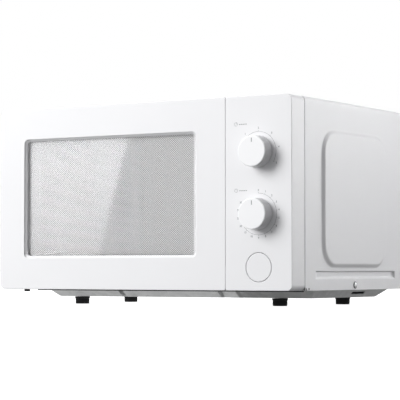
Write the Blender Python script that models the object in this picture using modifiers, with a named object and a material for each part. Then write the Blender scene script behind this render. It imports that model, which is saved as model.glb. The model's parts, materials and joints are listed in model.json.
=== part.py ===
"""Countertop microwave oven with a side-hinged door, two knobs and a door button.

The row frame is X to the right, Y to the back and Z up. Its origin is on the
floor, under the middle of the bounding box. Dimensions below are millimetres;
MM turns them into metres when a mesh is placed.
"""
import math

import bmesh
import bpy
from mathutils import Matrix, Vector

MM = 0.001
TAU = 2.0 * math.pi

# ---- Overall size ----------------------------------------------------------
FACE_WIDTH = 440.0
OVERALL_DEPTH = 340.0
TOP_Z = 255.0
KNOB_PROUD = 17.0
FOOT_HEIGHT = 10.0
PAN_DROP = 10.0
GAP = 0.4

LEFT_X = -FACE_WIDTH / 2
RIGHT_X = FACE_WIDTH / 2
KNOB_FACE_Y = -OVERALL_DEPTH / 2
FRONT_Y = KNOB_FACE_Y + KNOB_PROUD
REAR_Y = OVERALL_DEPTH / 2
BASE_Z = FOOT_HEIGHT + PAN_DROP

# ---- Front: door on the left, control panel on the right -------------------
FRONT_DEPTH = 31.0
FRONT_BACK_Y = FRONT_Y + FRONT_DEPTH
DOOR_WIDTH = 347.2
DOOR_GAP = 0.8
DOOR_RIGHT_X = LEFT_X + DOOR_WIDTH
PANEL_LEFT_X = DOOR_RIGHT_X + DOOR_GAP
FACE_CORNER = 7.0
SEAM_CORNER = 2.5
FRONT_EDGE = 1.2

# ---- Sheet steel front plate and cavity ------------------------------------
SHEET = 0.8
PLATE_FRONT_Y = FRONT_BACK_Y + 0.7
PLATE_INSET = 1.0
PLATE_CORNER = 4.0
PLATE_BACK_Y = PLATE_FRONT_Y + SHEET
CABINET_FRONT_Y = PLATE_BACK_Y + GAP
CAVITY_LEFT_X = -201.0
CAVITY_RIGHT_X = 106.0
CAVITY_FLOOR_Z = 38.0
CAVITY_TOP_Z = 236.0
CAVITY_BACK_Y = 158.0
CAVITY_CORNER = 8.0
WAVE_WINDOW_Y = (20.0, 70.0)
WAVE_WINDOW_Z = (160.0, 204.0)
LAMP_Y = -70.0
LAMP_Z = 215.0
WELL_RADIUS = 100.0
WELL_DROP = 3.0
CAVITY_MIDDLE_X = (CAVITY_LEFT_X + CAVITY_RIGHT_X) / 2
TURNTABLE_Y = 19.0

# ---- Door ------------------------------------------------------------------
WINDOW_LEFT_X = LEFT_X + 39.6
WINDOW_RIGHT_X = LEFT_X + 306.0
WINDOW_LOW_Z = BASE_Z + 40.2
WINDOW_HIGH_Z = BASE_Z + 195.4
WINDOW_CORNER = 6.0
WINDOW_CHAMFER = 3.2
DOOR_SKIN = 5.6
POCKET = (-196.0, 121.0, 29.0, 246.0)
GLASS_FRONT_Y = FRONT_Y + DOOR_SKIN + 0.3
GLASS_THICKNESS = 2.0
GLASS_PANE = (-188.0, 93.0, 52.0, 223.0)
SCREEN_FRONT_Y = GLASS_FRONT_Y + GLASS_THICKNESS + 0.3
SCREEN_BACK_Y = FRONT_BACK_Y - 4.0
SCREEN_PAN = (-193.0, 107.0, 32.0, 243.0)
CHOKE_DEPTH = 5.0
CHOKE_RIB = 15.0
CHOKE_COVER_THICKNESS = 2.4
VIEW_OPENING = (-174.0, 88.0, 51.0, 224.0)
HINGE_X = -208.0
HINGE_Y = FRONT_BACK_Y - 12.5
HINGE_ROUND = 11.8
HINGE_PIN_RADIUS = 2.5
HINGE_PIN_LENGTH = 9.5
HINGE_LEAF = 2.0
HINGE_LEAF_REACH = 26.0

# ---- Latch -----------------------------------------------------------------
HOOK_LOW_X = 112.5
HOOK_HIGH_X = 115.5
HOOK_BAR_FRONT_Y = -141.5
HOOK_BAR_BACK_Y = -127.0
HOOK_BAR_LOW_Z = 47.0
HOOK_BAR_TOP_Z = 214.0
HOOK_TIP_Y = -105.0
HOOK_HEIGHTS = (50.0, 204.0)
HOOK_ARM = 6.0
NOSE_DROP = 4.6
NOSE_CLEARANCE = 0.5
KEEPER_BACK_Y = -116.0
KEEPER_SLOT_X = (110.8, 118.6)
SWITCH_HEIGHTS = {"primary_switch": 60.0, "monitor_switch": 172.0, "secondary_switch": 190.0}
LEVER_Y = -96.0
LEVER_Z = 34.0

# ---- Controls --------------------------------------------------------------
KNOB_X = LEFT_X + 394.2
POWER_Z = BASE_Z + 167.0
TIMER_Z = BASE_Z + 92.0
BUTTON_Z = BASE_Z + 28.0
KNOB_RADIUS = 19.3
SHAFT_RADIUS = 3.0
PANEL_SKIN = 2.8
PANEL_WALL = 2.6
BUTTON_RADIUS = 17.4
BUTTON_DEPTH = 4.0
BUTTON_TUBE = 20.4
BUTTON_TUBE_LENGTH = 17.0
BUTTON_STEM_END_Y = -119.6
SHAFT_END_Y = -131.0
SHAFT_CLEARANCE = 0.35
TIMER_BACK_Y = -112.0
SELECTOR_BACK_Y = -120.0

# ---- Turntable -------------------------------------------------------------
GLASS_RADIUS = 122.5
GLASS_RIM_HEIGHT = 13.0
ROLLER_TRACK = 88.0
ROLLER_RADIUS = 8.0
ROLLER_AXIS_Z = CAVITY_FLOOR_Z - WELL_DROP + GAP + ROLLER_RADIUS
GLASS_BOTTOM_Z = ROLLER_AXIS_Z + ROLLER_RADIUS + GAP
ROLLER_COUNT = 3

# ---- Feet ------------------------------------------------------------------
FRONT_FOOT_X = 152.0
FRONT_FOOT_Y = -62.0
REAR_FOOT_X = 168.0
REAR_FOOT_Y = 76.0
FOOT_TOP_RADIUS = 10.0
FOOT_BOTTOM_RADIUS = 9.0

# ---- Base pan: rectangles of its rim and of its floor ----------------------
PAN_TOP = (-188.0, 214.0, -90.0, 118.0)
PAN_BOTTOM = (-179.0, 204.0, -75.0, 98.0)
PAN_TOP_CORNER = 12.0
PAN_BOTTOM_CORNER = 8.0
PAN_FLANGE = 10.6

# ---- Rear ------------------------------------------------------------------
REAR_INSET = 4.6
CORD_X = 190.0
CORD_Z = 48.0
CORD_HOLE_RADIUS = 8.4

# ---- Cabinet side pressings ------------------------------------------------
CABINET_BEND = 5.0
PAD_HEIGHT = 3.0
PAD_BEVEL = 6.0
PAD_FRONT_Y = -79.4
PAD_BACK_Y = 99.0
PAD_LOW_Z = 47.0
PAD_HIGH_Z = 218.5
PAD_CORNER = 32.0
GROOVE_FRONT_Y = -94.5
GROOVE_BACK_Y = 125.0
GROOVE_LOW_Z = 33.4
GROOVE_HIGH_Z = 43.8
GROOVE_DEPTH = 2.6
SIDE_SCREW_Y = 10.0
SIDE_SCREW_Z = 26.0
SCREW_HOLE_RADIUS = 2.2

# ---- Electrical compartment: boxes are low X, high X, low Y, high Y, low Z, high Z
FLOOR_PART_Z = FOOT_HEIGHT + SHEET + 0.5
WAVEGUIDE_BOX = (CAVITY_RIGHT_X + SHEET + 0.5, 130.4, 10.0, 112.0, 150.0, 212.0)
YOKE_BOX = (131.2, 174.0, 50.0, 118.0, 150.0, 212.0)
YOKE_WALL = 1.6
FILTER_BOX = (173.4, 204.0, 60.0, 108.0, 155.0, 204.0)
DUCT_BOX = (132.0, 174.0, -24.0, 49.0, 151.0, 211.0)
DUCT_WALL = 1.6
CORE_BOX = (130.0, 196.0, 26.0, 82.0, FLOOR_PART_Z, 70.0)
CAPACITOR_BOX = (130.0, 184.0, -62.0, -28.0, FLOOR_PART_Z, 92.0)
BOARD_BOX = (136.0, 206.0, -80.0, -20.0, 240.0, 241.6)
ANTENNA_Y = 84.0
ANTENNA_Z = 181.0
ANTENNA_HOLE = 11.0
FAN_X = 164.0
FAN_Z = 172.0
FAN_RADIUS = 38.0
FAN_BLADES = 5
FAN_HUB_RADIUS = 10.0
SHROUD_FRONT_Y = 126.0
SHROUD_BACK_Y = 138.0

# Number of straight steps in a quarter-circle corner, and in a full circle.
CORNER_STEPS = 4
ROUND_STEPS = 36


def make_collection(name):
    collection = bpy.data.collections.new(name)
    bpy.context.scene.collection.children.link(collection)
    return collection


def clear_scene():
    for old in list(bpy.data.objects):
        bpy.data.objects.remove(old, do_unlink=True)


clear_scene()
PARTS = make_collection("microwave_oven")
CUTTERS = make_collection("cutters")


# ---- Materials -------------------------------------------------------------
def material(name, colour, roughness, metallic=0.0):
    """A Principled material, made once and then shared."""
    if name in bpy.data.materials:
        return bpy.data.materials[name]
    paint = bpy.data.materials.new(name)
    paint.use_nodes = True
    shader = paint.node_tree.nodes["Principled BSDF"]
    shader.inputs["Base Color"].default_value = (*colour, 1.0)
    shader.inputs["Roughness"].default_value = roughness
    shader.inputs["Metallic"].default_value = metallic
    paint.diffuse_color = (*colour, 1.0)
    return paint


def white_plastic():
    return material("white_plastic", (0.86, 0.87, 0.88), 0.35)


def white_enamel():
    return material("white_enamel", (0.84, 0.85, 0.86), 0.4)


def grey_enamel():
    return material("grey_enamel", (0.36, 0.37, 0.38), 0.4)


def galvanised_steel():
    return material("galvanised_steel", (0.45, 0.47, 0.47), 0.4, 0.9)


def bright_steel():
    return material("bright_steel", (0.6, 0.6, 0.6), 0.3, 1.0)


def black_rubber():
    return material("black_rubber", (0.02, 0.02, 0.02), 0.8)


def black_plastic():
    return material("black_plastic", (0.03, 0.03, 0.03), 0.5)


def grey_plastic():
    return material("grey_plastic", (0.4, 0.41, 0.42), 0.5)


def clear_glass():
    return material("clear_glass", (0.8, 0.84, 0.84), 0.05)


def mica_sheet():
    return material("mica_sheet", (0.55, 0.5, 0.42), 0.6)


def copper_wire():
    return material("copper_wire", (0.6, 0.28, 0.12), 0.35, 1.0)


def core_steel():
    return material("core_steel", (0.16, 0.16, 0.17), 0.5, 0.7)


def aluminium():
    return material("aluminium", (0.72, 0.72, 0.74), 0.35, 1.0)


def board_green():
    return material("board_green", (0.05, 0.2, 0.08), 0.5)


# ---- Mesh building blocks (world millimetres) ------------------------------
def add_box(mesh, low, high):
    """A box between two opposite corners."""
    size = [h - l for l, h in zip(low, high)]
    middle = [(h + l) / 2 for l, h in zip(low, high)]
    matrix = Matrix.Translation(middle) @ Matrix.Diagonal((*size, 1.0))
    bmesh.ops.create_cube(mesh, size=1.0, matrix=matrix)
    return mesh


def axis_turn(axis):
    """The rotation that takes +Z to the named axis."""
    turns = {
        "+Z": Matrix.Identity(4),
        "-Z": Matrix.Rotation(math.pi, 4, "X"),
        "-Y": Matrix.Rotation(math.pi / 2, 4, "X"),
        "+Y": Matrix.Rotation(-math.pi / 2, 4, "X"),
        "+X": Matrix.Rotation(math.pi / 2, 4, "Y"),
        "-X": Matrix.Rotation(-math.pi / 2, 4, "Y"),
    }
    return turns[axis]


def add_cylinder(mesh, start, axis, length, radius, end_radius=None, steps=ROUND_STEPS):
    """A cylinder or cone frustum that grows from start along axis."""
    matrix = Matrix.Translation(start) @ axis_turn(axis) @ Matrix.Translation((0, 0, length / 2))
    bmesh.ops.create_cone(
        mesh,
        cap_ends=True,
        segments=steps,
        radius1=radius,
        radius2=radius if end_radius is None else end_radius,
        depth=length,
        matrix=matrix,
    )
    return mesh


def box(low, high):
    return add_box(bmesh.new(), low, high)


def cylinder(start, axis, length, radius, end_radius=None, steps=ROUND_STEPS):
    return add_cylinder(bmesh.new(), start, axis, length, radius, end_radius, steps)


def rounded_outline(low_u, high_u, low_v, high_v, corners):
    """Points around a rectangle, each corner an arc of its own radius.

    corners holds the radii at (low, low), (high, low), (high, high) and
    (low, high).
    """
    signs = [(-1, -1), (1, -1), (1, 1), (-1, 1)]
    points = []
    for index, (side_u, side_v) in enumerate(signs):
        radius = corners[index]
        centre_u = (high_u - radius) if side_u > 0 else (low_u + radius)
        centre_v = (high_v - radius) if side_v > 0 else (low_v + radius)
        start = math.pi + index * math.pi / 2
        for step in range(CORNER_STEPS + 1):
            angle = start + step / CORNER_STEPS * math.pi / 2
            points.append((centre_u + radius * math.cos(angle), centre_v + radius * math.sin(angle)))
    return points


def loft(axis, sections):
    """A closed solid through rounded rectangles stacked along one axis.

    Each section is (position, low_u, high_u, low_v, high_v, corners). u and v
    are the other two axes in X, Y, Z order; corners is one radius or four.
    """
    order = {"X": (0, 1, 2), "Y": (1, 0, 2), "Z": (2, 0, 1)}[axis]
    mesh = bmesh.new()
    rings = []
    for position, low_u, high_u, low_v, high_v, corners in sections:
        if not isinstance(corners, (tuple, list)):
            corners = (corners,) * 4
        ring = []
        for u, v in rounded_outline(low_u, high_u, low_v, high_v, corners):
            point = [0.0, 0.0, 0.0]
            point[order[0]] = position
            point[order[1]] = u
            point[order[2]] = v
            ring.append(mesh.verts.new(point))
        rings.append(ring)
    for first, second in zip(rings, rings[1:]):
        for index in range(len(first)):
            following = (index + 1) % len(first)
            mesh.faces.new((first[index], first[following], second[following], second[index]))
    mesh.faces.new(rings[0])
    mesh.faces.new(rings[-1])
    bmesh.ops.recalc_face_normals(mesh, faces=mesh.faces)
    return mesh


def grown(rectangle, amount):
    """The rectangle (low u, high u, low v, high v) with every side moved outward."""
    low_u, high_u, low_v, high_v = rectangle
    return (low_u - amount, high_u + amount, low_v - amount, high_v + amount)


def prism(axis, start, end, low_u, high_u, low_v, high_v, corners):
    """A straight rounded bar between two positions on one axis."""
    rectangle = (low_u, high_u, low_v, high_v, corners)
    return loft(axis, [(start, *rectangle), (end, *rectangle)])


def soft_front(front, back, low_x, high_x, low_z, high_z, corners, edge):
    """A slab facing -Y whose front edges are rounded by the radius edge."""
    sections = []
    edge_steps = 3
    for step in range(edge_steps + 1):
        angle = step / edge_steps * math.pi / 2
        inset = edge * (1 - math.sin(angle))
        position = front + edge * (1 - math.cos(angle))
        radii = [max(radius - inset, 0.3) for radius in corners]
        sections.append((position, low_x + inset, high_x - inset, low_z + inset, high_z - inset, radii))
    sections.append((back, low_x, high_x, low_z, high_z, list(corners)))
    return loft("Y", sections)


def lathe(profile, matrix, steps):
    """A closed stack of rings around +Z, moved by matrix. profile is (radius, height)."""
    mesh = bmesh.new()
    rings = []
    for radius, height in profile:
        ring = []
        for step in range(steps):
            angle = step / steps * TAU
            point = Vector((radius * math.cos(angle), radius * math.sin(angle), height))
            ring.append(mesh.verts.new(matrix @ point))
        rings.append(ring)
    for first, second in zip(rings, rings[1:]):
        for index in range(steps):
            following = (index + 1) % steps
            mesh.faces.new((first[index], first[following], second[following], second[index]))
    mesh.faces.new(rings[0])
    mesh.faces.new(rings[-1])
    return mesh


# ---- Objects ---------------------------------------------------------------
def place(name, mesh, paint, origin=(0.0, 0.0, 0.0), collection=None):
    """Turn a world-millimetre bmesh into an object whose origin is given."""
    bmesh.ops.recalc_face_normals(mesh, faces=mesh.faces)
    bmesh.ops.translate(mesh, verts=mesh.verts, vec=-Vector(origin))
    bmesh.ops.scale(mesh, verts=mesh.verts, vec=(MM, MM, MM))
    data = bpy.data.meshes.new(name)
    mesh.to_mesh(data)
    mesh.free()
    item = bpy.data.objects.new(name, data)
    item.location = Vector(origin) * MM
    if paint is not None:
        data.materials.append(paint)
    (collection or PARTS).objects.link(item)
    data.shade_smooth()
    data.set_sharp_from_angle(angle=math.radians(32))
    return item


def hide_cutter(helper):
    helper.hide_render = True
    helper.display_type = "WIRE"


def apply_object(item, helper, operation):
    """Add a Boolean modifier that uses another object."""
    step = item.modifiers.new(operation.title(), "BOOLEAN")
    step.operation = operation
    step.solver = "EXACT"
    step.object = helper


def combine(item, mesh, operation):
    """Add a Boolean modifier that uses the given world-millimetre mesh."""
    helper = place(item.name + "_" + operation.lower(), mesh, None, collection=CUTTERS)
    hide_cutter(helper)
    apply_object(item, helper, operation)


def cut(item, mesh):
    combine(item, mesh, "DIFFERENCE")


def join(item, mesh):
    combine(item, mesh, "UNION")


def keep_inside(item, mesh):
    combine(item, mesh, "INTERSECT")


def turned(name, profile, paint, origin, axis, steps=ROUND_STEPS):
    """A solid of revolution. profile runs from the top of the axis down the outside."""
    data = bpy.data.meshes.new(name)
    points = [(radius * MM, 0.0, height * MM) for radius, height in profile]
    edges = [(index, index + 1) for index in range(len(points) - 1)]
    data.from_pydata(points, edges, [])
    data.materials.append(paint)
    item = bpy.data.objects.new(name, data)
    item.location = Vector(origin) * MM
    item.rotation_euler = axis_turn(axis).to_euler()
    PARTS.objects.link(item)
    screw = item.modifiers.new("Turn", "SCREW")
    screw.axis = "Z"
    screw.angle = TAU
    screw.steps = steps
    screw.render_steps = steps
    screw.use_merge_vertices = True
    screw.merge_threshold = 0.00001
    screw.use_smooth_shade = True
    return item


def coil_spring(name, origin, axis, length, radius, wire, turns, paint):
    """A compression spring: a helix of round wire that starts at origin."""
    curve = bpy.data.curves.new(name, "CURVE")
    curve.dimensions = "3D"
    curve.bevel_depth = wire * MM
    curve.bevel_resolution = 0
    curve.use_fill_caps = True
    steps_per_turn = 10
    count = turns * steps_per_turn + 1
    spline = curve.splines.new("POLY")
    spline.points.add(count - 1)
    for index in range(count):
        angle = index / steps_per_turn * TAU
        height = wire + index / (count - 1) * (length - 2 * wire)
        point = (radius * math.cos(angle) * MM, radius * math.sin(angle) * MM, height * MM, 1.0)
        spline.points[index].co = point
    item = bpy.data.objects.new(name, curve)
    item.location = Vector(origin) * MM
    item.rotation_euler = axis_turn(axis).to_euler()
    curve.materials.append(paint)
    PARTS.objects.link(item)
    return item


# ---- Body shell ------------------------------------------------------------
def side_pad(side, face_x):
    """The raised field of one side wall, standing on the plane face_x."""
    outer = (PAD_FRONT_Y, PAD_BACK_Y, PAD_LOW_Z, PAD_HIGH_Z)
    crest = grown(outer, -PAD_BEVEL)
    sections = [
        (side * (face_x - 1.0), *outer, PAD_CORNER),
        (side * face_x, *outer, PAD_CORNER),
        (side * (face_x + PAD_HEIGHT), *crest, PAD_CORNER - PAD_BEVEL),
    ]
    return loft("X", sections)


def side_groove(side, face_x, grow):
    """The long groove of one side wall, wider by grow on every edge."""
    outside_x = side * (face_x + 1.0)
    floor_x = side * (face_x - GROOVE_DEPTH)
    edge = (GROOVE_FRONT_Y - grow, GROOVE_BACK_Y + grow, GROOVE_LOW_Z - grow, GROOVE_HIGH_Z + grow, 1.2)
    return prism("X", outside_x, floor_x, *edge)


def hollow_block(low_x, high_x, bottom, top, front, back, bend):
    """A bar along Y whose two top edges are bent."""
    return prism("Y", front, back, low_x, high_x, bottom, top, (0.1, 0.1, bend, bend))


def screw_holes():
    """One rod that drills the holes of both side screws."""
    start = (LEFT_X - 5, SIDE_SCREW_Y, SIDE_SCREW_Z)
    return cylinder(start, "+X", FACE_WIDTH + 10, SCREW_HOLE_RADIUS, steps=12)


def outer_cabinet():
    """The wrapped cover: pressed sheet over both sides and the top."""
    outside = hollow_block(LEFT_X, RIGHT_X, BASE_Z, TOP_Z, CABINET_FRONT_Y, REAR_Y, CABINET_BEND)
    cabinet = place("outer_cabinet", outside, white_enamel())
    inside = hollow_block(
        LEFT_X + SHEET,
        RIGHT_X - SHEET,
        BASE_Z - 5.0,
        TOP_Z - SHEET,
        CABINET_FRONT_Y - 5.0,
        REAR_Y + 5.0,
        CABINET_BEND - SHEET,
    )
    hollow = place("cabinet_hollow", inside, None, collection=CUTTERS)
    hide_cutter(hollow)
    for side in (-1, 1):
        join(cabinet, side_pad(side, RIGHT_X))
        cut(cabinet, side_groove(side, RIGHT_X, 0.0))
        join(hollow, side_pad(side, RIGHT_X - SHEET))
        cut(hollow, side_groove(side, RIGHT_X - SHEET, SHEET))
    apply_object(cabinet, hollow, "DIFFERENCE")
    cut(cabinet, screw_holes())


def front_plate():
    """The steel front frame: cavity mouth, compartment opening, hook and hinge slots."""
    inset = PLATE_INSET
    outline = (LEFT_X + inset, RIGHT_X - inset, BASE_Z + inset, TOP_Z - inset, PLATE_CORNER)
    plate = place("front_plate", prism("Y", PLATE_FRONT_Y, PLATE_BACK_Y, *outline), white_enamel())
    through = (PLATE_FRONT_Y - 3, PLATE_BACK_Y + 3)
    mouth = (CAVITY_LEFT_X, CAVITY_RIGHT_X, CAVITY_FLOOR_Z, CAVITY_TOP_Z, CAVITY_CORNER)
    compartment = (133.0, 213.0, 34.0, 242.0, 4.0)
    cut(plate, prism("Y", *through, *mouth))
    cut(plate, prism("Y", *through, *compartment))
    slot_drop = HOOK_ARM + 1.0
    slot_height = 21.0
    for hook_z in HOOK_HEIGHTS:
        low_z = hook_z - slot_drop
        cut(plate, prism("Y", *through, 110.4, 118.8, low_z, low_z + slot_height, 1.0))
    for middle_z in hinge_heights():
        low = (HINGE_X - 7.0, through[0], middle_z - HINGE_LEAF)
        high = (HINGE_X + 6.0, through[1], middle_z + HINGE_LEAF)
        cut(plate, box(low, high))


def base_pan():
    """A pressed tray: rim under the cabinet, sloped skirt, and two side flanges."""
    rim_low = BASE_Z + 0.4
    rim_high = rim_low + SHEET
    rim_middle = rim_low + SHEET / 2
    edge_x = RIGHT_X - SHEET - GAP
    front_y = CABINET_FRONT_Y + 1.6
    back_y = REAR_Y - 5.4
    rim = prism("Z", rim_low, rim_high, -edge_x, edge_x, front_y, back_y, 2.0)
    pan = place("base_pan", rim, galvanised_steel())
    tray = [
        (FOOT_HEIGHT, *PAN_BOTTOM, PAN_BOTTOM_CORNER),
        (rim_middle - 0.1, *PAN_TOP, PAN_TOP_CORNER),
        (rim_middle, *PAN_TOP, PAN_TOP_CORNER),
    ]
    join(pan, loft("Z", tray))
    for side in (-1, 1):
        inner = side * (edge_x - SHEET)
        outer = side * edge_x
        low = (min(inner, outer), front_y + 6, rim_middle)
        high = (max(inner, outer), back_y - 6, rim_low + PAN_FLANGE)
        join(pan, box(low, high))
    inner_bottom = grown(PAN_BOTTOM, -SHEET)
    inner_top = grown(PAN_TOP, -SHEET)
    hollow = [
        (FOOT_HEIGHT + SHEET, *inner_bottom, PAN_BOTTOM_CORNER - SHEET),
        (rim_low, *inner_top, PAN_TOP_CORNER - SHEET),
        (rim_high + 1, *inner_top, PAN_TOP_CORNER - SHEET),
    ]
    cut(pan, loft("Z", hollow))
    cut(pan, screw_holes())


def rear_panel():
    """The rear wall with the fan's slots and the cable hole."""
    front = REAR_Y - REAR_INSET
    edge_x = RIGHT_X - SHEET - GAP
    outline = (-edge_x, edge_x, BASE_Z + 1.6, TOP_Z - SHEET - GAP, (0.3, 0.3, 4.0, 4.0))
    panel = place("rear_panel", prism("Y", front, front + SHEET, *outline), galvanised_steel())
    slots = bmesh.new()
    slot_columns = 8
    slot_rows = 2
    slot_pitch = 9.0
    row_pitch = 36.0
    slot_half_width = 2.0
    slot_half_height = 15.0
    for row in range(slot_rows):
        for column in range(slot_columns):
            x = FAN_X + (column - (slot_columns - 1) / 2) * slot_pitch
            z = FAN_Z + (row - (slot_rows - 1) / 2) * row_pitch
            low = (x - slot_half_width, front - 4, z - slot_half_height)
            high = (x + slot_half_width, REAR_Y, z + slot_half_height)
            add_box(slots, low, high)
    cut(panel, slots)
    cut(panel, cylinder((CORD_X, front - 4, CORD_Z), "+Y", 12.0, CORD_HOLE_RADIUS, steps=24))


def cord_gland():
    """The bushing that closes the hole of the supply cable."""
    panel_back = REAR_Y - REAR_INSET + SHEET
    bore = 4.0
    collar = REAR_INSET - SHEET - 0.2
    neck = CORD_HOLE_RADIUS - 0.5
    profile = [
        (bore, collar),
        (9.0, collar),
        (11.0, GAP),
        (neck, GAP),
        (neck, -SHEET - 5.0),
        (bore, -SHEET - 5.0),
        (bore, collar),
    ]
    turned("cord_gland", profile, black_plastic(), (CORD_X, panel_back, CORD_Z), "+Y", 24)


def side_screws():
    for name, side in (("side_screw_left", -1), ("side_screw_right", 1)):
        profile = [(0.0, 2.0), (2.4, 1.8), (3.5, 0.6), (3.5, 0.3), (1.8, 0.3), (1.8, -6.0), (0.0, -6.4)]
        axis = "+X" if side > 0 else "-X"
        turned(name, profile, bright_steel(), (side * RIGHT_X, SIDE_SCREW_Y, SIDE_SCREW_Z), axis, 16)


def feet():
    places = {
        "foot_front_left": (-FRONT_FOOT_X, FRONT_FOOT_Y),
        "foot_front_right": (FRONT_FOOT_X, FRONT_FOOT_Y),
        "foot_rear_left": (-REAR_FOOT_X, REAR_FOOT_Y),
        "foot_rear_right": (REAR_FOOT_X, REAR_FOOT_Y),
    }
    top = FOOT_HEIGHT - 0.3
    for name, (x, y) in places.items():
        profile = [
            (0.0, top),
            (FOOT_TOP_RADIUS, top),
            (FOOT_TOP_RADIUS, top - 1.8),
            (FOOT_BOTTOM_RADIUS + 0.3, top - 2.4),
            (FOOT_BOTTOM_RADIUS, 0.8),
            (FOOT_BOTTOM_RADIUS - 0.8, 0.0),
            (0.0, 0.0),
        ]
        turned(name, profile, black_rubber(), (x, y, 0.0), "+Z", 24)


# ---- Cavity ----------------------------------------------------------------
def oven_cavity():
    """The enamelled chamber with its round well, motor hole, wave window and lamp holes."""
    inner = (CAVITY_LEFT_X, CAVITY_RIGHT_X, CAVITY_FLOOR_Z, CAVITY_TOP_Z)
    outer = grown(inner, SHEET)
    shell = prism("Y", PLATE_BACK_Y + GAP, CAVITY_BACK_Y + SHEET, *outer, CAVITY_CORNER + SHEET)
    cavity = place("oven_cavity", shell, grey_enamel())
    well_bottom = CAVITY_FLOOR_Z - WELL_DROP
    well_start = (CAVITY_MIDDLE_X, TURNTABLE_Y, well_bottom - SHEET)
    join(cavity, cylinder(well_start, "+Z", WELL_DROP + 1.0, WELL_RADIUS - 1.0, WELL_RADIUS + SHEET + 1.4))
    cut(cavity, prism("Y", PLATE_BACK_Y - 6, CAVITY_BACK_Y, *inner, CAVITY_CORNER))
    well_inside = (CAVITY_MIDDLE_X, TURNTABLE_Y, well_bottom)
    cut(cavity, cylinder(well_inside, "+Z", WELL_DROP + 3.0, WELL_RADIUS - 1.0, WELL_RADIUS + 3.0))
    cut(cavity, cylinder((CAVITY_MIDDLE_X, TURNTABLE_Y, BASE_Z), "+Z", 30.0, 7.0, steps=20))
    wave_low = (CAVITY_RIGHT_X - 5, WAVE_WINDOW_Y[0], WAVE_WINDOW_Z[0])
    wave_high = (CAVITY_RIGHT_X + 5, WAVE_WINDOW_Y[1], WAVE_WINDOW_Z[1])
    cut(cavity, box(wave_low, wave_high))
    lamp_holes = bmesh.new()
    hole_pitch = 8.0
    for row in range(2):
        for column in range(3):
            y = LAMP_Y + (column + 1) * hole_pitch
            z = LAMP_Z + (row - 0.5) * hole_pitch
            add_cylinder(lamp_holes, (CAVITY_RIGHT_X - 5, y, z), "+X", 10.0, 2.4, steps=8)
    cut(cavity, lamp_holes)


def block(axis, bounds, corner):
    """A rounded bar that fills a box (low X, high X, low Y, high Y, low Z, high Z)."""
    ranges = {"X": bounds[0:2], "Y": bounds[2:4], "Z": bounds[4:6]}
    start, end = ranges.pop(axis)
    (low_u, high_u), (low_v, high_v) = ranges.values()
    return prism(axis, start, end, low_u, high_u, low_v, high_v, corner)


def waveguide():
    """The tin channel from the magnetron's antenna to the cavity's wave window."""
    low_x, high_x, *section = WAVEGUIDE_BOX
    guide = place("waveguide", prism("X", low_x, high_x, *section, 2.0), galvanised_steel())
    cut(guide, prism("X", low_x - 5, high_x - SHEET, *grown(section, -SHEET), 1.2))
    cut(guide, cylinder((high_x - 5, ANTENNA_Y, ANTENNA_Z), "+X", 10.0, ANTENNA_HOLE, steps=24))


def waveguide_cover():
    """The mica sheet over the wave window."""
    high_x = CAVITY_RIGHT_X - 0.4
    border = 6.0
    low_y, high_y = WAVE_WINDOW_Y
    low_z, high_z = WAVE_WINDOW_Z
    outline = grown((low_y, high_y, low_z, high_z), border)
    place("waveguide_cover", prism("X", high_x - 0.7, high_x, *outline, 4.0), mica_sheet())


# ---- Door ------------------------------------------------------------------
def hinge_heights():
    """Middle heights of the lower and the upper hinge leaf."""
    return (BASE_Z + 7.0, TOP_Z - 7.0)


def door_frame():
    """The moulded door: window recess in front, pocket behind, hinge notches at the left."""
    corners = (FACE_CORNER, SEAM_CORNER, SEAM_CORNER, FACE_CORNER)
    body = soft_front(FRONT_Y, FRONT_BACK_Y, LEFT_X, DOOR_RIGHT_X, BASE_Z, TOP_Z, corners, FRONT_EDGE)
    origin = (HINGE_X, HINGE_Y, BASE_Z)
    frame = place("door_frame", body, white_plastic(), origin)
    plan = (LEFT_X, DOOR_RIGHT_X, FRONT_Y, FRONT_BACK_Y, (0.3, 0.3, 1.0, HINGE_ROUND))
    keep_inside(frame, prism("Z", BASE_Z - 5, TOP_Z + 5, *plan))
    cut(frame, prism("Y", FRONT_Y + DOOR_SKIN, FRONT_BACK_Y + 5, *POCKET, 3.0))
    window = (WINDOW_LEFT_X, WINDOW_RIGHT_X, WINDOW_LOW_Z, WINDOW_HIGH_Z)
    outside = grown(window, WINDOW_CHAMFER)
    wall = grown(window, -WINDOW_CHAMFER)
    sections = [
        (FRONT_Y - WINDOW_CHAMFER, *outside, WINDOW_CORNER + WINDOW_CHAMFER),
        (FRONT_Y + WINDOW_CHAMFER, *wall, WINDOW_CORNER - 1.0),
        (FRONT_Y + DOOR_SKIN + 5, *wall, WINDOW_CORNER - 1.0),
    ]
    cut(frame, loft("Y", sections))
    notch = HINGE_LEAF / 2 + 0.8
    lower, upper = hinge_heights()
    pin_hole_starts = (lower - 0.5, upper - HINGE_PIN_LENGTH - 1.0)
    for middle_z, start_z in zip((lower, upper), pin_hole_starts):
        low = (LEFT_X - 5, HINGE_Y - 8.5, middle_z - notch)
        high = (HINGE_X + 9.0, FRONT_BACK_Y + 5, middle_z + notch)
        cut(frame, box(low, high))
        hole = cylinder((HINGE_X, HINGE_Y, start_z), "+Z", 11.0, HINGE_PIN_RADIUS + 0.35, steps=24)
        cut(frame, hole)


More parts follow.
